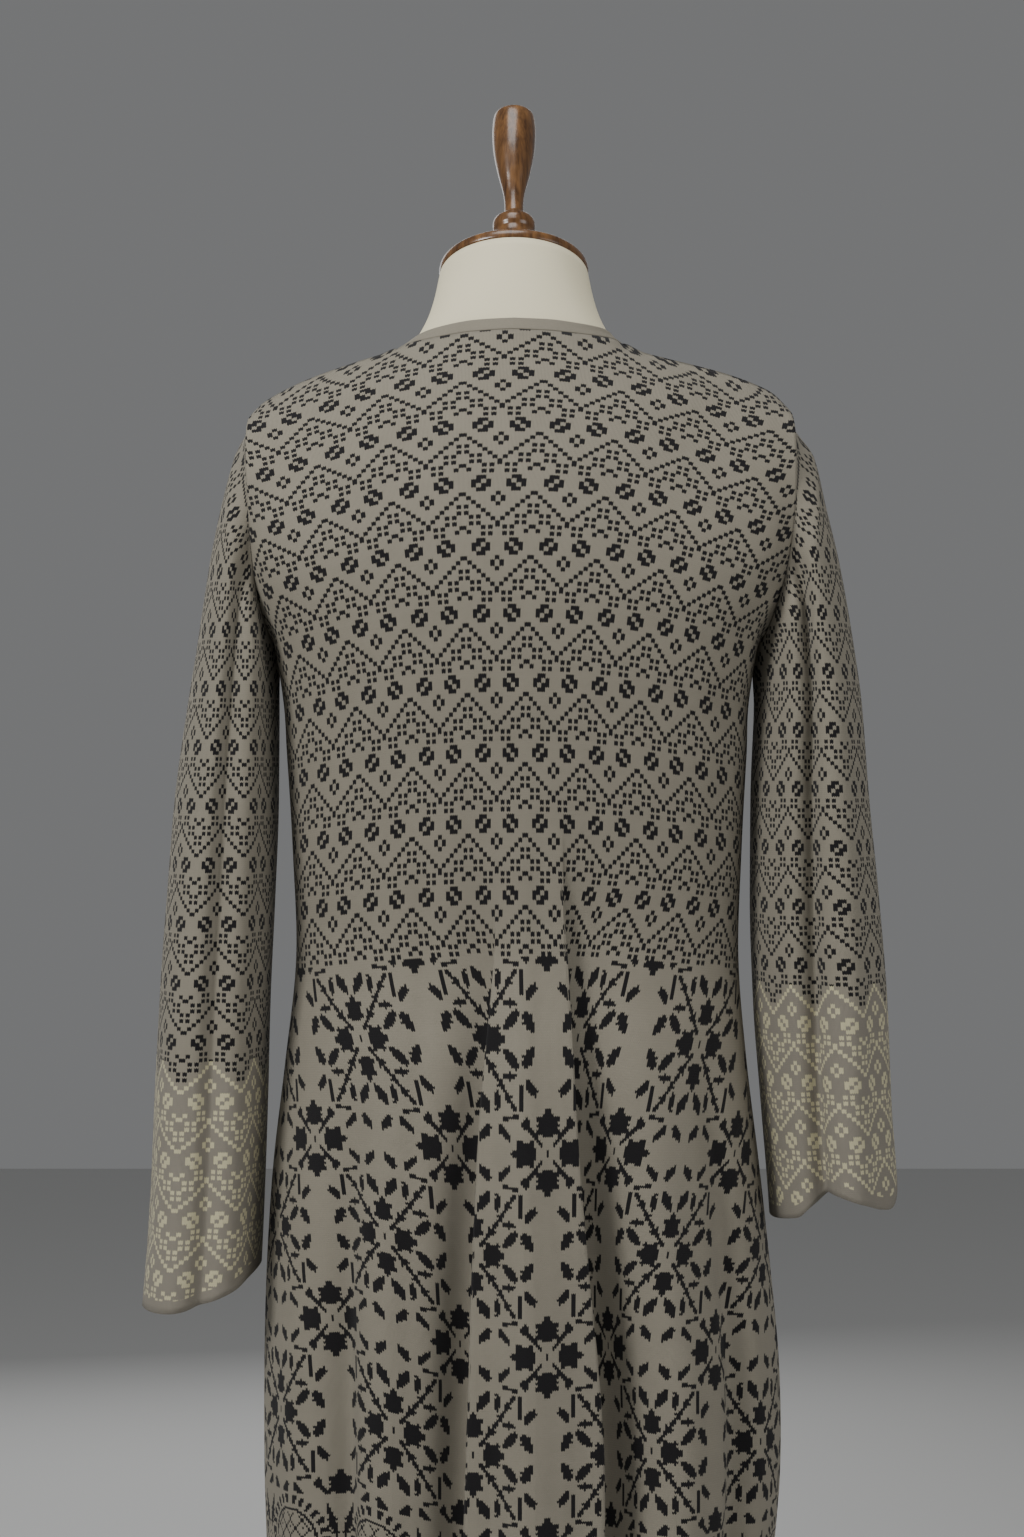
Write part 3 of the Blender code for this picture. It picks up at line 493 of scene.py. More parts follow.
LEAVES = table(
    "start end width",
    ((23.8, 16.0), (24.4, 25.0), 1.2),
    ((28.0, 16.0), (33.4, 24.6), 1.9),
    ((27.2, 11.6), (32.8, 4.6), 1.8),
    ((23.4, 11.2), (17.8, 4.8), 1.7),
    ((11.6, 32.6), (6.8, 41.0), 2.1),
    ((13.9, 32.4), (21.8, 40.0), 2.1),
    ((14.6, 30.0), (22.4, 29.3), 1.2),
    ((10.4, 28.4), (5.2, 21.6), 1.8),
)


def column(rows, name):
    return np.array([getattr(row, name) for row in rows])


def curve(u, step, start, end, start_slope, end_slope):
    """Cubic curve from start to end at the shares u of a step, with these slopes at its ends."""
    leaving = (1 + 2 * u) * (1 - u) ** 2 * start + u * (1 - u) ** 2 * step * start_slope
    arriving = u * u * (3 - 2 * u) * end - u * u * (1 - u) * step * end_slope
    return leaving + arriving


def smooth(xs, ys, x):
    """Values at x of a smooth curve through the points that never overshoots them."""
    order = np.argsort(xs)
    xs, ys = np.asarray(xs, float)[order], np.asarray(ys, float)[order]
    steps = np.diff(xs)
    slopes = np.diff(ys) / steps
    tangents = np.zeros(len(xs))
    tangents[0], tangents[-1] = slopes[0], slopes[-1]
    before, after = slopes[:-1], slopes[1:]
    same = before * after > 0
    tangents[1:-1][same] = 2 * before[same] * after[same] / (before[same] + after[same])
    x = np.clip(x, xs[0], xs[-1])
    i = np.clip(np.searchsorted(xs, x) - 1, 0, len(xs) - 2)
    u = (x - xs[i]) / steps[i]
    return curve(u, steps[i], ys[i], ys[i + 1], tangents[i], tangents[i + 1])


def look(rows, key, name, x):
    """One column of a table, read at x of its key column."""
    return smooth(column(rows, key), column(rows, name), x)


def ease(start, full, x):
    """0 at start, 1 at full, smooth between."""
    u = np.clip((x - start) / (full - start), 0.0, 1.0)
    return u * u * (3 - 2 * u)


def between(start, end, share):
    return start + (end - start) * share


def unit(vectors):
    return vectors / np.linalg.norm(vectors, axis=-1, keepdims=True)


def section_point(left, right, far, arc, fullness, s):
    """Point at s of a curve from right (s -1) over far (s 0) to left (s 1)."""
    left, right, far = np.array(left), np.array(right), np.array(far)
    across = math.sin(s * arc) / math.sin(arc)
    rise = (math.cos(s * arc) - math.cos(arc)) / (1 - math.cos(arc))
    middle = (left + right) / 2
    return middle + (left - right) / 2 * across + (far - middle) * max(rise, 0.0) ** fullness


def armhole_point(side, face, t):
    x = look(ARMHOLE, "t", side, t)
    y = look(ARMHOLE, "t", face, t)
    z = look(ARMHOLE, "t", "z", t)
    tip = look(SHOULDER, "f", side + "_z", 1.0)
    return np.array([x, y, z + (tip - ARMHOLE[-1].z) * t])


def neck_point(neckline, s, free_edge):
    """Point of the neckline seam, or of the band's free edge, at |s| up to NECK_S."""
    g = abs(s) / NECK_S
    prefix = "band_" if free_edge else ""
    x, y, z = (float(look(neckline, "g", prefix + name, g)) for name in "xyz")
    if s < 0:
        side_rise = (SHOULDER[0].right_z - SHOULDER[0].left_z) * g * g
        return np.array([-x * RIGHT_NECK_SCALE, y, z + side_rise])
    return np.array([x, y, z])


def top_point(face, s):
    """Upper boundary of a panel: neckline in the middle, shoulder seam at the sides."""
    if abs(s) <= NECK_S:
        return neck_point(NECKLINES[face], s, False)
    f = (abs(s) - NECK_S) / (1 - NECK_S)
    side = "left" if s > 0 else "right"
    x = look(SHOULDER, "f", side, f)
    z = look(SHOULDER, "f", side + "_z", f)
    return np.array([x, look(SHOULDER, "f", "y", f), z])


def upper_point(face, s, t):
    """Point of a panel above the underarm: t 0 at the underarm, 1 at the upper boundary."""
    centre = CENTRES[face]
    z = between(UNDERARM_Z, centre[-1].z, t)
    arc = between(math.pi / 2, TOP_ARC, t)
    fullness = between(BODY[0].fullness, TOP_FULLNESS, t)
    far = (0.0, look(centre, "z", "y", z), z)
    left, right = armhole_point("left", face, t), armhole_point("right", face, t)
    point = section_point(left, right, far, arc, fullness, s)
    tip_left, tip_right = armhole_point("left", face, 1), armhole_point("right", face, 1)
    top = section_point(tip_left, tip_right, (0.0, *centre[-1][::-1]), TOP_ARC, TOP_FULLNESS, s)
    return point + (top_point(face, s) - top) * t**TOP_BLEND


def hem_height(s):
    return HEM_Z + HEM_WAVE * math.cos(3 * math.pi * s)


def lower_point(face, s, u):
    """Point of a panel below the underarm: u 0 at the hem, 1 at the underarm."""
    z = between(hem_height(s), UNDERARM_Z, u)
    left = (look(BODY, "z", "left", z), 0.0, z)
    right = (look(BODY, "z", "right", z), 0.0, z)
    far = ((left[0] + right[0]) / 2, look(BODY, "z", face, z), z)
    return section_point(left, right, far, math.pi / 2, look(BODY, "z", "fullness", z), s)


def grid_normals(grid, closed, flip):
    """Unit normals of a grid of points, rows by columns."""
    if closed:
        across = np.roll(grid, -1, axis=1) - np.roll(grid, 1, axis=1)
    else:
        across = np.gradient(grid, axis=1)
    along = np.gradient(grid, axis=0)
    normals = unit(np.cross(along, across))
    return -normals if flip else normals


def relax(grid):
    """Evens out the yoke of a panel between its edges."""
    for _ in range(RELAX_PASSES):
        near = (grid[2:, 1:-1] + grid[:-2, 1:-1] + grid[1:-1, 2:] + grid[1:-1, :-2]) / 4
        share = np.zeros(grid.shape[0] - 2)
        share[LOWER_ROWS - 3:] = RELAX_SHARE
        grid = grid.copy()
        grid[1:-1, 1:-1] += (near - grid[1:-1, 1:-1]) * share[:, None, None]
    return grid


def refine(grid, knots, spots, axis):
    """Reads smooth curves through the grid's points along one axis at the spots."""
    grid = np.moveaxis(grid, axis, 0)
    knots, spots = np.asarray(knots, float), np.asarray(spots, float)
    slopes = np.gradient(grid, knots, axis=0)
    i = np.clip(np.searchsorted(knots, spots, side="right") - 1, 0, len(knots) - 2)
    shape = (-1,) + (1,) * (grid.ndim - 1)
    step = (knots[i + 1] - knots[i]).reshape(shape)
    u = ((spots - knots[i]) / (knots[i + 1] - knots[i])).reshape(shape)
    return np.moveaxis(curve(u, step, grid[i], grid[i + 1], slopes[i], slopes[i + 1]), 0, axis)


def signed_distance(tree, point):
    """Distance from the form, negative inside it, and the way out of it."""
    spot, normal, _, distance = tree.find_nearest(Vector(point))
    way = Vector(point) - spot
    if distance < 1e-9:
        return 0.0, np.array(normal)
    inside = way.dot(normal) < 0
    way = way.normalized()
    return (-distance, -np.array(way)) if inside else (distance, np.array(way))


def lift_off(tree, grid, clearance):
    """Moves points that are in or near the form out to the clearance, softly."""
    moved = grid.copy()
    for index in np.ndindex(grid.shape[:2]):
        distance, way = signed_distance(tree, grid[index])
        excess = (distance - clearance) / REST_SOFTNESS
        if excess < REST_REACH:
            soft = REST_SOFTNESS * math.log1p(math.exp(excess))
            moved[index] = grid[index] + way * (clearance + soft - distance)
    return moved


def fine_columns():
    """Columns of a panel, close together between the ends of the neckline and wider beside them."""
    middle = np.linspace(0.0, NECK_S, FINE_NECK_COLUMNS + 1)
    beside = np.linspace(NECK_S, 1.0, FINE_SIDE_COLUMNS + 1)
    half = np.concatenate([middle, beside[1:]])
    return np.concatenate([-half[:0:-1], half])


def coarse_panel(face):
    rows = []
    for i in range(LOWER_ROWS):
        rows.append([lower_point(face, s, i / LOWER_ROWS) for s in COLUMNS])
    for i in range(ARMHOLE_ROWS + 1):
        rows.append([upper_point(face, s, i / ARMHOLE_ROWS) for s in COLUMNS])
    return np.array(rows)


def fold_push(folds, s, z):
    """Outward push of all folds at these points, and the cloth that they swallow."""
    push, hidden = np.zeros(np.broadcast(s, z).shape), np.zeros(np.broadcast(s, z).shape)
    for fold in folds:
        strength = ease(fold.start_z, fold.full_z, z)
        middle = between(fold.top_s, fold.hem_s, ease(*FOLD_PATH, z))
        away = s - middle
        width = np.where(away < 0, fold.right_width, fold.left_width)
        push += fold.depth * strength * np.exp(-((away / width) ** 2))
        hidden += fold.hidden * strength * ease(-fold.right_width, fold.left_width, away)
    return push, hidden


def tuck_shift(tucks, s, z):
    """Sideways shift that turns the cloth under the edges of a pleat."""
    shift = np.zeros(np.broadcast(s, z).shape)
    for tuck in tucks:
        strength = ease(tuck.start_z, tuck.full_z, z)
        away = (s - between(tuck.top_s, tuck.hem_s, ease(*FOLD_PATH, z))) / tuck.width
        shift -= tuck.shift * strength * away * np.exp((1 - away**2) / 2)
    return shift


def fine_panels(tree):
    """Outer surfaces of both panels with all their folds, joined at their seams."""
    grids, hidden = {}, {}
    knots = [LOWER_STEP * i for i in range(LOWER_ROWS)]
    knots += [LOWER_STEP * LOWER_ROWS + UPPER_STEP * i for i in range(ARMHOLE_ROWS + 1)]
    break_at = LOWER_STEP * LOWER_ROWS
    low = np.linspace(0.0, break_at, FINE_LOWER_ROWS + 1)
    high = np.linspace(break_at, knots[-1], FINE_ARMHOLE_ROWS + 1)[1:]
    for face in ("back", "front"):
        coarse = relax(lift_off(tree, coarse_panel(face), SOLID_CLEARANCE))
        fine = refine(refine(coarse, COLUMNS, fine_columns(), 1), knots, np.append(low, high), 0)
        normals = grid_normals(fine, False, face == "front")
        push, hidden[face] = fold_push(FOLDS[face], fine_columns()[None, :], fine[..., 2])
        pushed = fine + normals * push[..., None]
        pushed[..., 0] += tuck_shift(TUCKS[face], fine_columns()[None, :], fine[..., 2])
        grids[face] = lift_off(tree, pushed, WALL + REST_GAP)
    for index in seam_indices():
        middle = (grids["back"][index] + grids["front"][index]) / 2
        grids["back"][index] = grids["front"][index] = middle
    return grids, hidden


def seam_indices():
    """Grid places where the back and the front share a seam: shoulders and sides."""
    columns = fine_columns()
    shoulder = [(TOP_ROW, j) for j, s in enumerate(columns) if abs(s) >= NECK_S - 1e-9]
    return shoulder + [(i, j) for i in range(FINE_LOWER_ROWS + 1) for j in (0, len(columns) - 1)]


def arc_lengths(grid, axis):
    """Length along the grid's curves from their first point."""
    steps = np.linalg.norm(np.diff(grid, axis=axis), axis=-1)
    start = np.zeros_like(np.take(steps, [0], axis=axis))
    return np.concatenate([start, np.cumsum(steps, axis=axis)], axis=axis)


def drawn_in(edge, inside):
    """An edge moved back from its seam toward the points inside it."""
    return edge + unit(inside - edge) * SEAM_GAP / 2


def chart_map(stitches, rows):
    return np.stack([stitches, rows], axis=-1)


def body_stitches(face, grid, hidden):
    """Stitch and row of every point of a panel: the two sides of its knitting chart."""
    s = fine_columns()[None, :]
    z = grid[..., 2]
    side = np.abs(np.sin(s * math.pi / 2))
    eased = z + look(DROOPS, "z", "side", z) * side**DROOP_POWER
    eased = eased - look(DROOPS, "z", "left_rise", z) * ease(*LEFT_RISE[face], s)
    rows = look(ROW_HEIGHTS, "z", "row", eased)
    across = arc_lengths(grid, 1) + hidden
    stitches = np.zeros(across.shape)
    for i in range(grid.shape[0]):
        axis = look(AXES, "z", "x", grid[i, FINE_HALF_COLUMNS, 2])
        zero = np.interp(axis, grid[i, :, 0], across[i])
        width = look(STITCH_WIDTHS, "z", "width", grid[i, FINE_HALF_COLUMNS, 2])
        stitches[i] = (across[i] - zero) / width + (MOTIF_WIDTH + 1) / 2
    return stitches, rows


def hanging_points(side, ring, angles, z, creases):
    """Sleeve points under the armhole's points: they leave the seam and join the hanging tube."""
    turn = np.radians(angles)
    inside = look(SLEEVE, "z", side + "_in", z)
    outside = look(SLEEVE, "z", side + "_out", z)
    half = (outside - inside) / 2
    depth = look(SLEEVE, "z", "half_depth", z)
    push = np.zeros(z.shape)
    for crease in creases:
        strength = ease(crease.start_z, crease.full_z, z)
        share = ease(crease.full_z, CREASE_END_Z, z)
        middle = between(crease.top_angle, crease.cuff_angle, share)
        away = np.abs((angles - middle + 180) % 360 - 180)
        push += crease.depth * strength * np.exp(-((away / crease.width) ** 2))
    x = (inside + outside) / 2 + (half + np.sign(half) * push) * np.cos(turn)
    y = look(SLEEVE, "z", "y", z) + (depth + push) * np.sin(turn)
    reach = between(UNDERARM_BLEND, CAP_BLEND, (1 + np.cos(turn)) / 2)
    joined = ease(0.0, 1.0, (ring[:, 2] - z) / reach)
    return np.stack([between(ring[:, 0], x, joined), between(ring[:, 1], y, joined), z], axis=-1)


def sleeve_grid(side, ring, angles):
    """Outer surface of a sleeve, rows from the armhole seam to the cuff."""
    creases = LEFT_CREASES if side == "left" else RIGHT_CREASES
    cuff = look(CUFF, "angle", side, angles)
    rows = []
    for i in range(FINE_SLEEVE_ROWS + 1):
        drop = (i / FINE_SLEEVE_ROWS) ** SLEEVE_ROW_POWER
        z = between(ring[:, 2], cuff, drop)
        rows.append(hanging_points(side, ring, angles, z, creases))
    return np.array(rows)


def form_grid(columns, heights):
    rows = []
    for z in heights:
        width, side_y, back, front, lean, squareness = (
            float(look(FORM, "z", name, z)) for name in FORM[0]._fields[1:]
        )
        angle = np.arange(columns) * 2 * math.pi / columns
        power = 2 / squareness
        x = width * np.sign(np.cos(angle)) * np.abs(np.cos(angle)) ** power
        lift = np.sign(np.sin(angle)) * np.abs(np.sin(angle)) ** power
        reach = np.where(lift > 0, back - side_y, side_y - front)
        y = side_y + reach * lift
        rows.append(np.stack([x, y, z + lean * (y - side_y)], axis=-1))
    return np.array(rows)


def show(name, points, faces, material, replaced, maps=None):
    """Smooth piece that rides with the part and stands in for a CAD node."""
    mesh = bpy.data.meshes.new(name)
    mesh.from_pydata(np.asarray(points).tolist(), [], faces)
    mesh.update()
    mesh.polygons.foreach_set("use_smooth", [len(face) <= 4 for face in faces])
    mesh.materials.append(material)
    if maps:
        corners = np.empty(len(mesh.loops), dtype=np.int32)
        mesh.loops.foreach_get("vertex_index", corners)
        for map_name, values in maps.items():
            layer = mesh.uv_layers.new(name=map_name)
            layer.data.foreach_set("uv", np.asarray(values, np.float32)[corners].ravel())
    obj = bpy.data.objects.new(name, mesh)
    bpy.context.scene.collection.objects.link(obj)
    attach(obj, "root")
    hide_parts(replaced)
    return obj


def looped(grid):
    """The grid with its first column once more at its end."""
    return np.concatenate([grid, grid[:, :1]], axis=1)


def quads(*corners):
    """Four-sided faces from the arrays of their four corners."""
    return np.stack(corners, axis=-1).reshape(-1, 4).tolist()


def skin(grid):
    return quads(grid[:-1, :-1], grid[:-1, 1:], grid[1:, 1:], grid[1:, :-1])


def cloth_faces(rows, columns, closed):
    """Faces of a closed wall: outer points first, then as many inner points."""
    outer = np.arange(rows * columns).reshape(rows, columns)
    if closed:
        outer = looped(outer)
    inner = outer + rows * columns
    faces = skin(outer) + skin(inner[::-1])
    faces += quads(inner[0, :-1], inner[0, 1:], outer[0, 1:], outer[0, :-1])
    faces += quads(outer[-1, :-1], outer[-1, 1:], inner[-1, 1:], inner[-1, :-1])
    if not closed:
        faces += quads(outer[:-1, 0], outer[1:, 0], inner[1:, 0], inner[:-1, 0])
        faces += quads(outer[:-1, -1], inner[:-1, -1], inner[1:, -1], outer[1:, -1])
    return faces


def ring_faces(rows, columns):
    """Faces of a solid made of closed rings, with a flat face at each end."""
    rings = np.arange(rows * columns).reshape(rows, columns)
    return skin(looped(rings)) + [rings[0, ::-1].tolist(), rings[-1].tolist()]


def face_outward(obj):
    """Turns every face over when the mesh encloses a negative volume."""
    mesh = obj.data
    volume = 0.0
    for polygon in mesh.polygons:
        corners = [mesh.vertices[i].co for i in polygon.vertices]
        for i in range(1, len(corners) - 1):
            volume += corners[0].dot(corners[i].cross(corners[i + 1]))
    if volume < 0:
        mesh.flip_normals()


def wall_depths(shape, closed, seams):
    """Depth of the wall at every point, thinner beside the named seams."""
    rows, columns = shape
    depth = np.full((rows, columns), WALL)
    fade = between(EDGE_WALL, WALL, ease(0, EDGE_ROWS, np.arange(max(rows, columns))))
    if "first" in seams:
        depth = np.minimum(depth, fade[:rows, None])
    if "last" in seams:
        depth = np.minimum(depth, fade[:rows][::-1, None])
    if "sides" in seams and not closed:
        depth = np.minimum(depth, fade[None, :columns])
        depth = np.minimum(depth, fade[None, :columns][:, ::-1])
    return depth


def cloth(name, outer, normals, closed, seams, material, maps):
    """Thin shell of knitting whose outer side passes through the outer points."""
    rows, columns = outer.shape[:2]
    inner = outer - normals * wall_depths((rows, columns), closed, seams)[..., None]
    points = np.concatenate([outer.reshape(-1, 3), inner.reshape(-1, 3)])
    doubled = {key: np.concatenate([value.reshape(-1, 2)] * 2) for key, value in maps.items()}
    piece = show(name + "_knit", points, cloth_faces(rows, columns, closed), material, name, doubled)
    face_outward(piece)
    return piece


def turned(name, profile, material, origin=(0.0, 0.0, 0.0), tilt=0.0):
    """Turned piece on an axis that leans toward the front by the tilt."""
    heights, radii = column(profile, "height"), column(profile, "radius")
    along = np.concatenate([[0.0], np.cumsum(np.hypot(np.diff(heights), np.diff(radii)))])
    spots = np.unique(np.concatenate([np.linspace(0, along[-1], TURN_DETAIL * len(along)), along]))
    height, radius = smooth(along, heights, spots), smooth(along, radii, spots)
    angle = np.arange(ROUND_COLUMNS) * 2 * math.pi / ROUND_COLUMNS
    x = radius[:, None] * np.cos(angle)
    y = radius[:, None] * np.sin(angle)
    up = np.broadcast_to(height[:, None], x.shape)
    points = np.stack([
        origin[0] + x,
        origin[1] + y * math.cos(tilt) - up * math.sin(tilt),
        origin[2] + y * math.sin(tilt) + up * math.cos(tilt),
    ], axis=-1)
    maps = {"turn": np.stack([np.broadcast_to(angle, x.shape), up], axis=-1).reshape(-1, 2)}
    return show(name + "_turned", points.reshape(-1, 3), ring_faces(*x.shape), material, name, maps)


class Shader:
    """Small helper that builds a Principled material from number sockets."""

    def __init__(self, name):
        self.material = bpy.data.materials.new(name)
        self.material.use_nodes = True
        self.tree = self.material.node_tree
        self.shader = self.tree.nodes["Principled BSDF"]

    def put(self, socket, value):
        if isinstance(value, bpy.types.NodeSocket):
            self.tree.links.new(value, socket)
        else:
            socket.default_value = value

    def node(self, kind, **settings):
        made = self.tree.nodes.new(kind)
        for key, value in settings.items():
            setattr(made, key, value)
        return made

    def math(self, operation, first, second=0.0, third=0.0):
        made = self.node("ShaderNodeMath", operation=operation)
        for socket, value in zip(made.inputs, (first, second, third)):
            self.put(socket, value)
        return made.outputs[0]

    def add(self, first, second):
        return self.math("ADD", first, second)

    def times(self, first, second):
        return self.math("MULTIPLY", first, second)

    def minus(self, first, second):
        return self.math("SUBTRACT", first, second)

    def wrapped(self, value, period):
        return self.math("FLOORED_MODULO", value, float(period))

    def less(self, first, second):
        return self.math("LESS_THAN", first, second)

    def pick(self, where, one, zero):
        """`one` where the share is 1 and `zero` where it is 0."""
        return self.add(self.times(self.minus(one, zero), where), zero)

    def coordinates(self, name):
        uv = self.node("ShaderNodeUVMap", uv_map=name)
        parts = self.node("ShaderNodeSeparateXYZ")
        self.put(parts.inputs[0], uv.outputs[0])
        return parts.outputs[0], parts.outputs[1]

    def place(self):
        return self.node("ShaderNodeTexCoord").outputs["Object"]

    def noise(self, scale, detail=2.0, stretch=None):
        where = self.place()
        if stretch:
            mapping = self.node("ShaderNodeMapping")
            self.put(mapping.inputs["Vector"], where)
            mapping.inputs["Scale"].default_value = stretch
            where = mapping.outputs[0]
        made = self.node("ShaderNodeTexNoise")
        self.put(made.inputs["Vector"], where)
        made.inputs["Scale"].default_value = scale
        made.inputs["Detail"].default_value = detail
        return made.outputs[0]

    def mix(self, share, first, second):
        made = self.node("ShaderNodeMix", data_type="RGBA")
        self.put(made.inputs["Factor"], share)
        for socket, value in ((made.inputs[6], first), (made.inputs[7], second)):
            self.put(socket, value if isinstance(value, bpy.types.NodeSocket) else (*value, 1.0))
        return made.outputs[2]

    def scaled(self, colour, share):
        """The colour made lighter or darker by a number socket."""
        made = self.node("ShaderNodeVectorMath", operation="SCALE")
        self.put(made.inputs[0], colour)
        self.put(made.inputs["Scale"], share)
        return made.outputs[0]

    def bump(self, height, distance, strength=1.0):
        made = self.node("ShaderNodeBump")
        self.put(made.inputs["Height"], height)
        made.inputs["Distance"].default_value = distance
        made.inputs["Strength"].default_value = strength
        self.put(self.shader.inputs["Normal"], made.outputs[0])

    def finish(self, colour, roughness, **constants):
        self.put(self.shader.inputs["Base Color"], colour)
        self.put(self.shader.inputs["Roughness"], roughness)
        for key, value in constants.items():
            self.shader.inputs[key.replace("_", " ")].default_value = value
        return self.material

    def chart(self, columns, stitch, row):
        """Reads a chart, held as one number a column, at a stitch and row counted from 0."""
        total = None
        for start in range(0, len(columns), STOPS):
            part = columns[start:start + STOPS]
            ramp = self.node("ShaderNodeValToRGB")
            ramp.color_ramp.interpolation = "CONSTANT"
            while len(ramp.color_ramp.elements) < len(part):
                ramp.color_ramp.elements.new(1.0)
            for i, number in enumerate(part):
                element = ramp.color_ramp.elements[i]
                element.position = i / len(part)
                masks = [(number >> (BITS * k)) % 2**BITS for k in range(3)]
                element.color = (*((mask + 0.5) / 2**BITS for mask in masks), 1.0)
            place = self.math("DIVIDE", self.add(stitch, 0.5 - start), float(len(part)))
            self.put(ramp.inputs[0], place)
            channels = self.node("ShaderNodeSeparateColor")
            self.put(channels.inputs[0], ramp.outputs[0])
            red, green, blue = channels.outputs
            first = self.less(row, BITS - 0.5)
            second = self.less(row, 2 * BITS - 0.5)
            mask = self.pick(first, red, self.pick(second, green, blue))
            inside = self.times(self.math("GREATER_THAN", place, 0.0), self.less(place, 1.0))
            mask = self.times(mask, inside)
            total = mask if total is None else self.add(total, mask)
        within = self.math("FLOOR", self.wrapped(self.add(row, 0.25), BITS))
        lifted = self.times(total, float(2**BITS))
        shifted = self.math("DIVIDE", lifted, self.math("POWER", 2.0, within))
        bit = self.wrapped(self.math("FLOOR", shifted), 2)
        return self.math("GREATER_THAN", bit, 0.5)


def folded(shader, value, period):
    """Distance in whole stitches from the nearest axis of a mirrored repeat."""
    half = float(period // 2)
    return shader.math("ABSOLUTE", shader.minus(shader.wrapped(shader.add(value, half), period), half))


def packed(grid):
    """One number a column from a chart of rows by columns of 0 and 1."""
    return [sum(int(grid[r, c]) << r for r in range(grid.shape[0])) for c in range(grid.shape[1])]


def stamp(grid, spots):
    for row, column_number in spots:
        if 0 <= row < grid.shape[0] and 0 <= column_number < grid.shape[1]:
            grid[row, column_number] = 1


def lattice_chart():
    """Half of the repeat of the yoke: zigzag of steps, dot clusters, large and small rings."""
    grid = np.zeros((MOTIF_ROWS, MOTIF_WIDTH // 2 + 1), int)
    stamp(grid, [(2 * k + r, 2 * k + c) for k in range(7) for r in (0, 1) for c in (0, 1)])
    stamp(grid, [(r, 14) for r in (14, 15, 16)])
    for low, top in ((1, 6), (3, 11), (8, 16)):
        pairs = [low, low + 1] if low == 1 else [low, low + 1, low + 3, low + 4]
        stamp(grid, [(top + r, c) for r in (0, 1, 3, 4) for c in pairs])
    stamp(grid, [(r, c) for r in (16, 17) for c in (0, 1)])
    stamp(grid, [(r, c) for r in (18, 19) for c in (2, 3)])
    ring = [".##.", "##.#", "#.##", ".##."]
    marks = [(r, c) for r, line in enumerate(ring) for c, mark in enumerate(line) if mark == "#"]
    stamp(grid, [(22 + 2 * r + i, 4 + 2 * c + k) for r, c in marks for i in (0, 1) for k in (0, 1)])
    stamp(grid, [(r, 14) for r in (0, 1, 5, 6)] + [(r, c) for r in (2, 3, 4) for c in (12, 13)])
    return grid


def along_line(grid, start, end):
    """Cells of a chart seen from a line: share of its length and distance beside it."""
    start, way = np.array(start, float), np.subtract(end, start)
    length = np.linalg.norm(way)
    rows, columns = np.indices(grid.shape)
    x, y = columns - start[0], rows - start[1]
    return (x * way[0] + y * way[1]) / length, (y * way[0] - x * way[1]) / length, length


def leaf(grid, start, end, width):
    """Pointed leaf with a toothed edge from its stalk to its tip."""
    along, across, length = along_line(grid, start, end)
    share = np.clip(along / length, 0.0, 1.0)
    bulge = width * np.sin(math.pi * share**0.85) ** 0.75
    tooth = 0.5 * ((np.floor(along + 0.5 * np.sign(across)) % 3) == 0) * (share < 0.85)
    grid[(np.abs(across) <= bulge + tooth) & (along >= 0) & (along <= length)] = 1


def stem(grid, start, end, width, thorns):
    """Straight stem with thorns at the given shares of its length."""
    along, across, length = along_line(grid, start, end)
    reach = np.full(grid.shape, float(width))
    for thorn in thorns:
        reach[np.abs(along - thorn * length) < 0.8] += 1.0
    grid[(np.abs(across) <= reach) & (along >= -0.3) & (along <= length + 0.3)] = 1


def petal(grid, centre, way, length, width):
    """Petal like a small maple leaf, with its five points away from the flower's middle."""
    rows, columns = np.indices(grid.shape)
    x, y = columns - centre[0], rows - centre[1]
    out = (x * way[0] + y * way[1]) / length
    beside = (y * way[0] - x * way[1]) / width
    angle = np.arctan2(beside, out)
    points = np.clip(np.cos(angle * 6.0) + 0.25, 0.0, 1.0) * (np.abs(angle) < 2.35)
    grid[np.hypot(out, beside) <= 0.76 + 0.32 * points * np.exp(-np.abs(angle) / 4)] = 1


def flower_chart():
    """A quarter of the skirt's repeat: a large flower at one corner, a smaller one across from it."""
    grid = np.zeros((FLOWER_ROWS + 1, FLOWER_COLUMNS + 1), int)
    for row in PETALS:
        petal(grid, *row)
    for row in STEMS:
        stem(grid, *row)
    for row in LEAVES:
        leaf(grid, *row)
    stamp(grid, [(0, 0), (1, 0), (FLOWER_ROWS, FLOWER_COLUMNS), (FLOWER_ROWS - 1, FLOWER_COLUMNS)])
    return grid


def border_chart():
    """Half of the hem's repeat: mounds of rays and small diamonds with a pair of leaves between them."""
    grid = np.zeros((BORDER_ROWS, BORDER_WIDTH // 2 + 1), int)
    rows, columns = np.indices(grid.shape)
    foot = 21
    up = foot - rows
    radius = np.hypot(columns * 0.95, up)
    ray = np.degrees(np.arctan2(up, columns + 1e-6)) % 13.0 < 7.0
    net = ((columns + rows) % 8 == 3) | ((columns - rows) % 8 == 4)
    core = (columns % 8 == 0) & (rows % 8 == 7)
    above = up >= 0
    grid[above & (radius > 16.4) & (radius < 20.6) & ray] = 1
    grid[above & (radius > 13.6) & (radius < 14.9)] = 1
    grid[(radius < 12.6) & above & (net | core)] = 1
    grid[(rows > foot) & (rows < BORDER_ROWS - 4) & (net | core)] = 1
    grid[(rows > BORDER_ROWS - 4) & (rows < BORDER_ROWS - 1) & (columns % 4 < 2)] = 1
    leaf(grid, (24.6, 20.0), (19.8, 3.6), 1.5)
    return grid


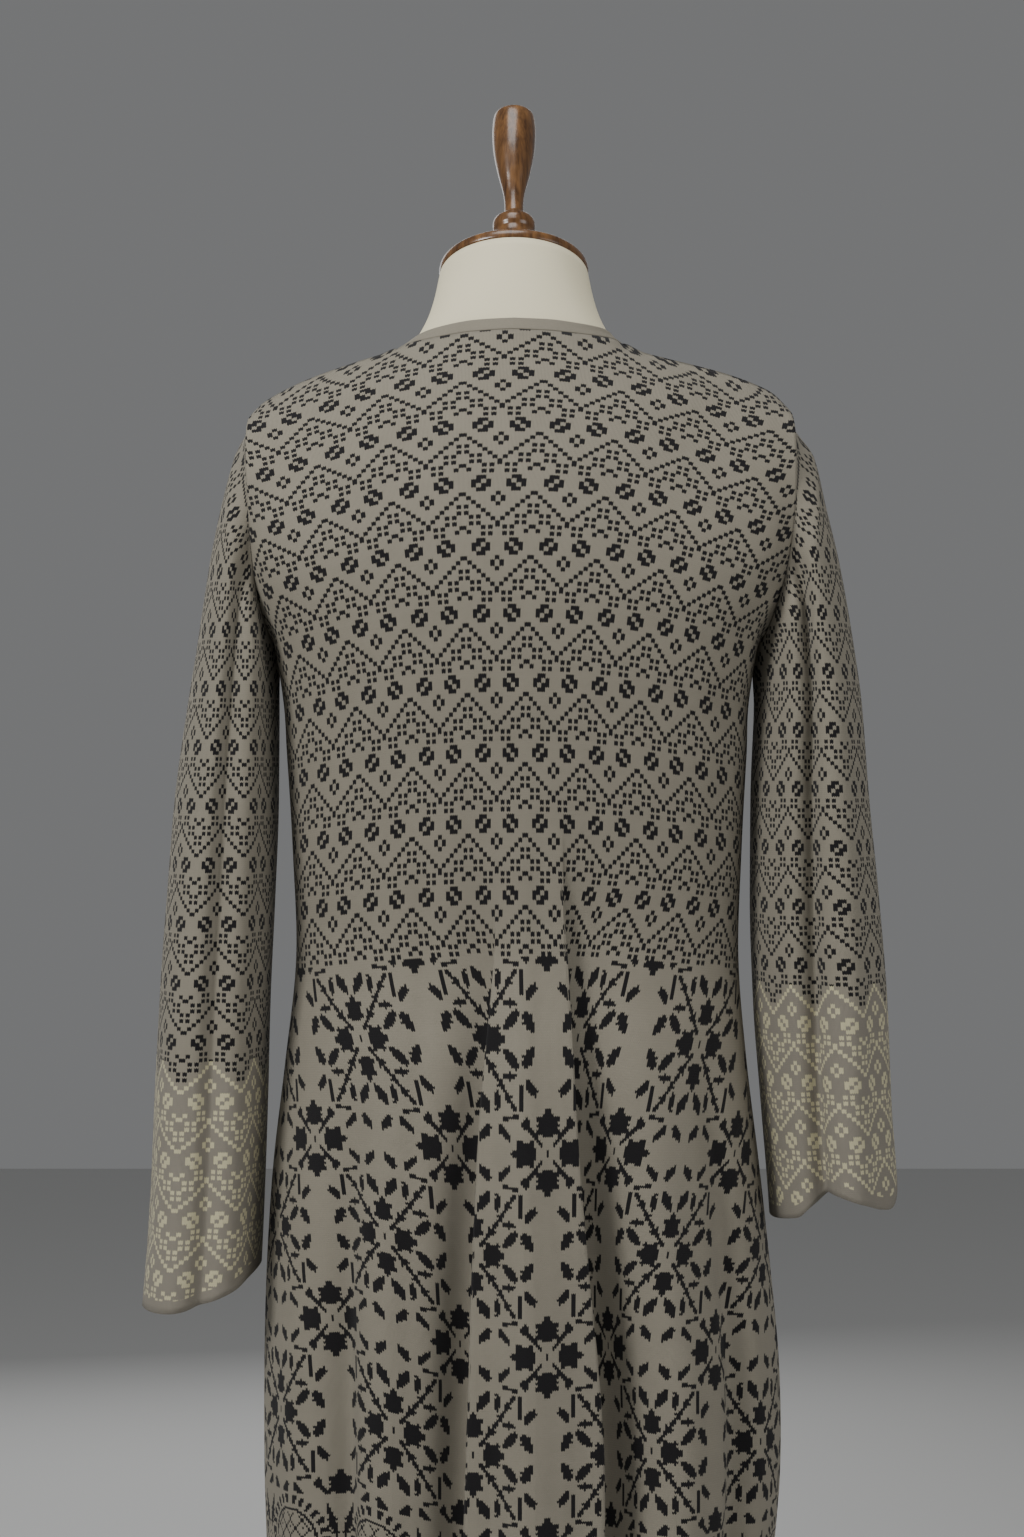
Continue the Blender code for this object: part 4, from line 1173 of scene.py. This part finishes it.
def stitch_cells(shader, stitch, row):
    """Whole stitch and row numbers, with the V of each stitch, and the yarn's relief, which sets the knits'
    bump and their painted shade.
    """
    across = shader.math("FRACT", stitch)
    slant = shader.math("ABSOLUTE", shader.minus(across, 0.5))
    tipped = shader.add(row, shader.minus(shader.times(slant, V_SLOPE), V_DROP))
    number, line = shader.math("FLOOR", stitch), shader.math("FLOOR", tipped)
    leg = shader.math("PINGPONG", shader.times(across, 2.0), 0.5)
    yarn = shader.math("SMOOTH_MIN", shader.times(leg, 4.0), 1.0, 0.4)
    end = shader.times(shader.math("PINGPONG", tipped, 0.5), 2.0)
    relief = shader.times(yarn, shader.add(shader.times(end, 0.35), 0.65))
    return number, line, relief


def knitted(shader, colour, relief, low=0.72, high=1.06, depth=0.0005):
    """Finishes a knit with painted shade in the dips between its yarns, their relief, a soft unevenness and
    fuzz.
    """
    # Painted shade: the colour runs from low to high with the relief, darker between the legs and at the
    # ends of each stitch
    shade = shader.add(shader.times(relief, high - low), low)
    wear = shader.add(shader.times(shader.noise(34.0, 3.0), 0.16), 0.92)
    fuzz = shader.add(shader.times(shader.noise(900.0, 2.0), 0.18), 0.91)
    shader.bump(relief, depth, 0.6)
    colour = shader.scaled(colour, shader.times(shade, shader.times(wear, fuzz)))
    return shader.finish(colour, 0.92, Sheen_Weight=0.06, Sheen_Roughness=0.5, Specular_IOR_Level=0.25)


def body_knit():
    """Yoke lattice above, flowers on the skirt and a border at the hem."""
    shader = Shader("body_knit")
    stitch, row = shader.coordinates("knit")
    number, line, relief = stitch_cells(shader, stitch, row)
    flower_number = shader.math("FLOOR", shader.coordinates("flower")[0])
    beside = folded(shader, number, MOTIF_WIDTH)
    yoke = shader.chart(packed(lattice_chart()), beside, shader.wrapped(line, MOTIF_ROWS))
    beside = folded(shader, flower_number, 2 * FLOWER_COLUMNS)
    below = folded(shader, shader.minus(line, FLOWER_ROW), 2 * FLOWER_ROWS)
    flowers = shader.chart(packed(flower_chart()), beside, below)
    beside = folded(shader, number, BORDER_WIDTH)
    hem_line = shader.minus(line, BORDER_ROW)
    border = shader.chart(packed(border_chart()), beside, shader.wrapped(hem_line, BORDER_ROWS))
    on_yoke = shader.less(line, CHANGE_ROW - 0.5)
    on_border = shader.math("GREATER_THAN", hem_line, -0.5)
    dark = shader.pick(on_yoke, yoke, shader.pick(on_border, border, flowers))
    return knitted(shader, shader.mix(dark, GROUND, BLACK), relief)


def sleeve_knit():
    """The yoke lattice the other way up, cream on grey at the cuff and a plain edge."""
    shader = Shader("sleeve_knit")
    stitch, row = shader.coordinates("knit")
    edge = shader.coordinates("edge")[1]
    number, line, relief = stitch_cells(shader, stitch, row)
    beside = folded(shader, number, MOTIF_WIDTH)
    above = shader.math("MULTIPLY_ADD", line, -1.0, -1.0)
    pattern = shader.chart(packed(lattice_chart()), beside, shader.wrapped(above, MOTIF_ROWS))
    cuff = shader.less(above, shader.add(shader.math("MINIMUM", beside, float(MOTIF_WIDTH // 2)), 1.5))
    plain = shader.less(edge, CUFF_EDGE_ROWS)
    ground = shader.mix(cuff, GROUND, CUFF_GROUND)
    yarn = shader.mix(cuff, BLACK, CREAM)
    drawn = shader.times(pattern, shader.minus(1.0, plain))
    return knitted(shader, shader.mix(drawn, ground, yarn), relief)


def band_knit():
    """Plain ground colour."""
    shader = Shader("band_knit")
    relief = stitch_cells(shader, *shader.coordinates("knit"))[2]
    # 0.78 and 1.04 bound the painted shade between the yarns, weaker than on the other knits
    return knitted(shader, GROUND, relief, 0.78, 1.04, 0.0004)


def jersey():
    shader = Shader("ivory_jersey")
    wear = shader.noise(9.0, 3.0)
    weave = shader.noise(1400.0, 2.0)
    colour = shader.mix(wear, *IVORY)
    shader.bump(weave, 0.0003, 0.35)
    return shader.finish(colour, 0.88, Sheen_Weight=0.05, Specular_IOR_Level=0.3)


def wood():
    """Dark varnished wood, browner where the grain opens."""
    shader = Shader("varnished_wood")
    grain = shader.noise(18.0, 5.0, (9.0, 9.0, 0.9))
    fine = shader.noise(90.0, 3.0, (8.0, 8.0, 0.7))
    streak = shader.math("MULTIPLY_ADD", grain, 0.7, shader.times(fine, 0.3))
    share = shader.math("SMOOTH_MAX", shader.math("MULTIPLY_ADD", streak, 3.2, -1.15), 0.0, 0.1)
    colour = shader.mix(shader.math("MINIMUM", share, 1.0), *WOOD)
    shader.bump(fine, 0.0002, 0.2)
    return shader.finish(colour, 0.26, Coat_Weight=0.45, Coat_Roughness=0.2, Specular_IOR_Level=0.45)


def black_paint():
    shader = Shader("black_paint")
    speckle = shader.noise(600.0, 2.0)
    colour = shader.mix(speckle, *PAINT)
    shader.bump(speckle, 0.0001, 0.3)
    return shader.finish(colour, 0.42, Metallic=0.0, Coat_Weight=0.1)


# Dress form and what stands on it and under it
heights = np.linspace(FORM[0].z, FORM[-1].z, FORM_ROWS)
form_points = form_grid(FORM_COLUMNS, heights).reshape(-1, 3)
form_faces = ring_faces(FORM_ROWS, FORM_COLUMNS)
form_piece = show("form_jersey", form_points, form_faces, jersey(), "form")
form_tree = BVHTree.FromPolygons(
    [v.co.copy() for v in form_piece.data.vertices], [tuple(p.vertices) for p in form_piece.data.polygons]
)
wooden = wood()
turned("neck_cap", NECK_CAP, wooden, NECK_TOP, NECK_TILT)
turned("finial", FINIAL, wooden, NECK_TOP, NECK_TILT)
painted = black_paint()
turned("base", BASE, painted)
turned("pole", POLE, painted)

# Panels
panels, swallowed = fine_panels(form_tree)
normals = {face: grid_normals(panels[face], False, face == "front") for face in panels}
for index in seam_indices():
    shared = unit(normals["back"][index] + normals["front"][index])
    normals["back"][index] = normals["front"][index] = shared

# Sleeves, which start on the armhole points of the panels
sleeve_material = sleeve_knit()
sheets = {}
for side, edge, tip_z, tip_x in SLEEVE_TIPS:
    seam = [("back", i) for i in range(FINE_LOWER_ROWS, TOP_ROW)]
    seam += [("front", i) for i in range(TOP_ROW, FINE_LOWER_ROWS, -1)]
    turns = np.array(
        [180.0 - 180.0 * i / FINE_ARMHOLE_ROWS for i in range(FINE_ARMHOLE_ROWS)]
        + [360.0 - 180.0 * i / FINE_ARMHOLE_ROWS for i in range(FINE_ARMHOLE_ROWS)]
    )
    ring = np.array([panels[face][i, edge] for face, i in seam])
    tube = sleeve_grid(side, ring, turns)
    tube_normals = grid_normals(tube, True, side == "left")
    around = arc_lengths(looped(tube), 1)[:, :-1]
    down = arc_lengths(tube, 0)
    level = np.argmin(np.abs(tube[:, FINE_ARMHOLE_ROWS // 2, 2] - tip_z))
    backward = tube[level, :FINE_ARMHOLE_ROWS]
    start = np.argmin(np.abs(backward[:, 0] - tip_x))
    stitches = (around - around[:, start:start + 1]) / STITCH + 0.5
    maps = {
        "knit": chart_map(stitches, (tip_z - tube[..., 2]) / ROW),
        "edge": chart_map(stitches, (down[-1:] - down) / ROW),
    }
    tube[0] = drawn_in(tube[0], tube[1])
    name = "sleeve_" + side
    sheets[name] = cloth(name, tube, tube_normals, True, ("first",), sleeve_material, maps)

# Neckband
columns = fine_columns()
neck_right = int(np.argmin(np.abs(columns + NECK_S)))
neck_left = int(np.argmin(np.abs(columns - NECK_S)))
places = [("back", j) for j in range(neck_right, neck_left)]
places += [("front", j) for j in range(neck_left, neck_right, -1)]
low = np.array([panels[face][TOP_ROW, j] for face, j in places])
high = np.array([neck_point(NECKLINES[face], columns[j], True) for face, j in places])
band = np.array([between(low, high, share) for share in np.linspace(0.0, 1.0, BAND_ROWS + 1)])
band[1:] = lift_off(form_tree, band[1:], WALL + REST_GAP)
band_normals = grid_normals(band, True, False)
beside = np.roll(band_normals, 1, axis=1) + np.roll(band_normals, -1, axis=1)
band_normals = unit(band_normals + beside / 2)
maps = {"knit": chart_map(arc_lengths(looped(band), 1)[:, :-1] / STITCH, arc_lengths(band, 0) / ROW)}
band[0] = drawn_in(band[0], band[1])
sheets["neckband"] = cloth("neckband", band, band_normals, True, ("first",), band_knit(), maps)

# The panels themselves, with their knitting charts laid on them
body_material = body_knit()
for face in ("back", "front"):
    stitches, rows = body_stitches(face, panels[face], swallowed[face])
    level = np.argmin(np.abs(panels[face][:, FINE_HALF_COLUMNS, 2] - FLOWER_Z))
    flower = np.interp(FLOWER_X, panels[face][level, :, 0], stitches[level])
    outer = panels[face].copy()
    outer[:, 0] = drawn_in(outer[:, 0], outer[:, 1])
    outer[:, -1] = drawn_in(outer[:, -1], outer[:, -2])
    outer[-1] = drawn_in(outer[-1], outer[-2])
    maps = {"knit": chart_map(stitches, rows), "flower": chart_map(stitches - math.floor(flower), rows)}
    sheets[face] = cloth(face, outer, normals[face], False, ("last", "sides"), body_material, maps)


def declare(name, rows, columns, closed, rests_on):
    """Reads the outer points of a sheet into a grid of rows by columns, with its first column again at the
    end when closed.
    """
    vertices = sheets[name].data.vertices
    points = np.empty(len(vertices) * 3)
    vertices.foreach_get("co", points)
    grid = points.reshape(-1, 3)[:rows * columns].reshape(rows, columns, 3)
    grid = looped(grid) if closed else grid


for face in ("back", "front"):
    declare(face, TOP_ROW + 1, LAST + 1, False, ["form"])
for name in ("sleeve_left", "sleeve_right"):
    declare(name, FINE_SLEEVE_ROWS + 1, 2 * FINE_ARMHOLE_ROWS, True, ["back_knit", "front_knit"])
declare("neckband", *band.shape[:2], True, ["back_knit", "front_knit"])

# Floor, light and the photo's view
floor_mesh = bpy.data.meshes.new("floor")
floor_corners = [(FLOOR_HALF * x, FLOOR_HALF * y, FLOOR_Z) for x, y in ((-1, -1), (1, -1), (1, 1), (-1, 1))]
floor_mesh.from_pydata(floor_corners, [], [(0, 1, 2, 3)])
floor_shader = Shader("pale_floor")
floor_mesh.materials.append(floor_shader.finish(FLOOR, 0.8))
floor = bpy.data.objects.new("floor", floor_mesh)
bpy.context.scene.collection.objects.link(floor)

world = bpy.data.worlds.new("studio")
bpy.context.scene.world = world
world.use_nodes = True
world.node_tree.nodes["Background"].inputs["Color"].default_value = SKY
world.node_tree.nodes["Background"].inputs["Strength"].default_value = SKY_STRENGTH

for lamp in LAMPS:
    light = bpy.data.lights.new(lamp.name, "AREA")
    light.size = lamp.size
    light.energy = lamp.power
    shown = bpy.data.objects.new(lamp.name, light)
    shown.location = lamp.place
    shown.rotation_euler = (Vector(lamp.target) - Vector(lamp.place)).to_track_quat("-Z", "Y").to_euler()
    bpy.context.scene.collection.objects.link(shown)

camera_data = bpy.data.cameras.new("camera")
camera_data.lens = LENS
camera_data.sensor_width = 36.0
camera_data.sensor_fit = "AUTO"
camera_data.clip_end = 50.0
camera = bpy.data.objects.new("camera", camera_data)
camera.location = CAMERA_PLACE
camera.rotation_euler = (math.radians(90.0), 0.0, math.radians(180.0))
bpy.context.scene.collection.objects.link(camera)
bpy.context.scene.camera = camera
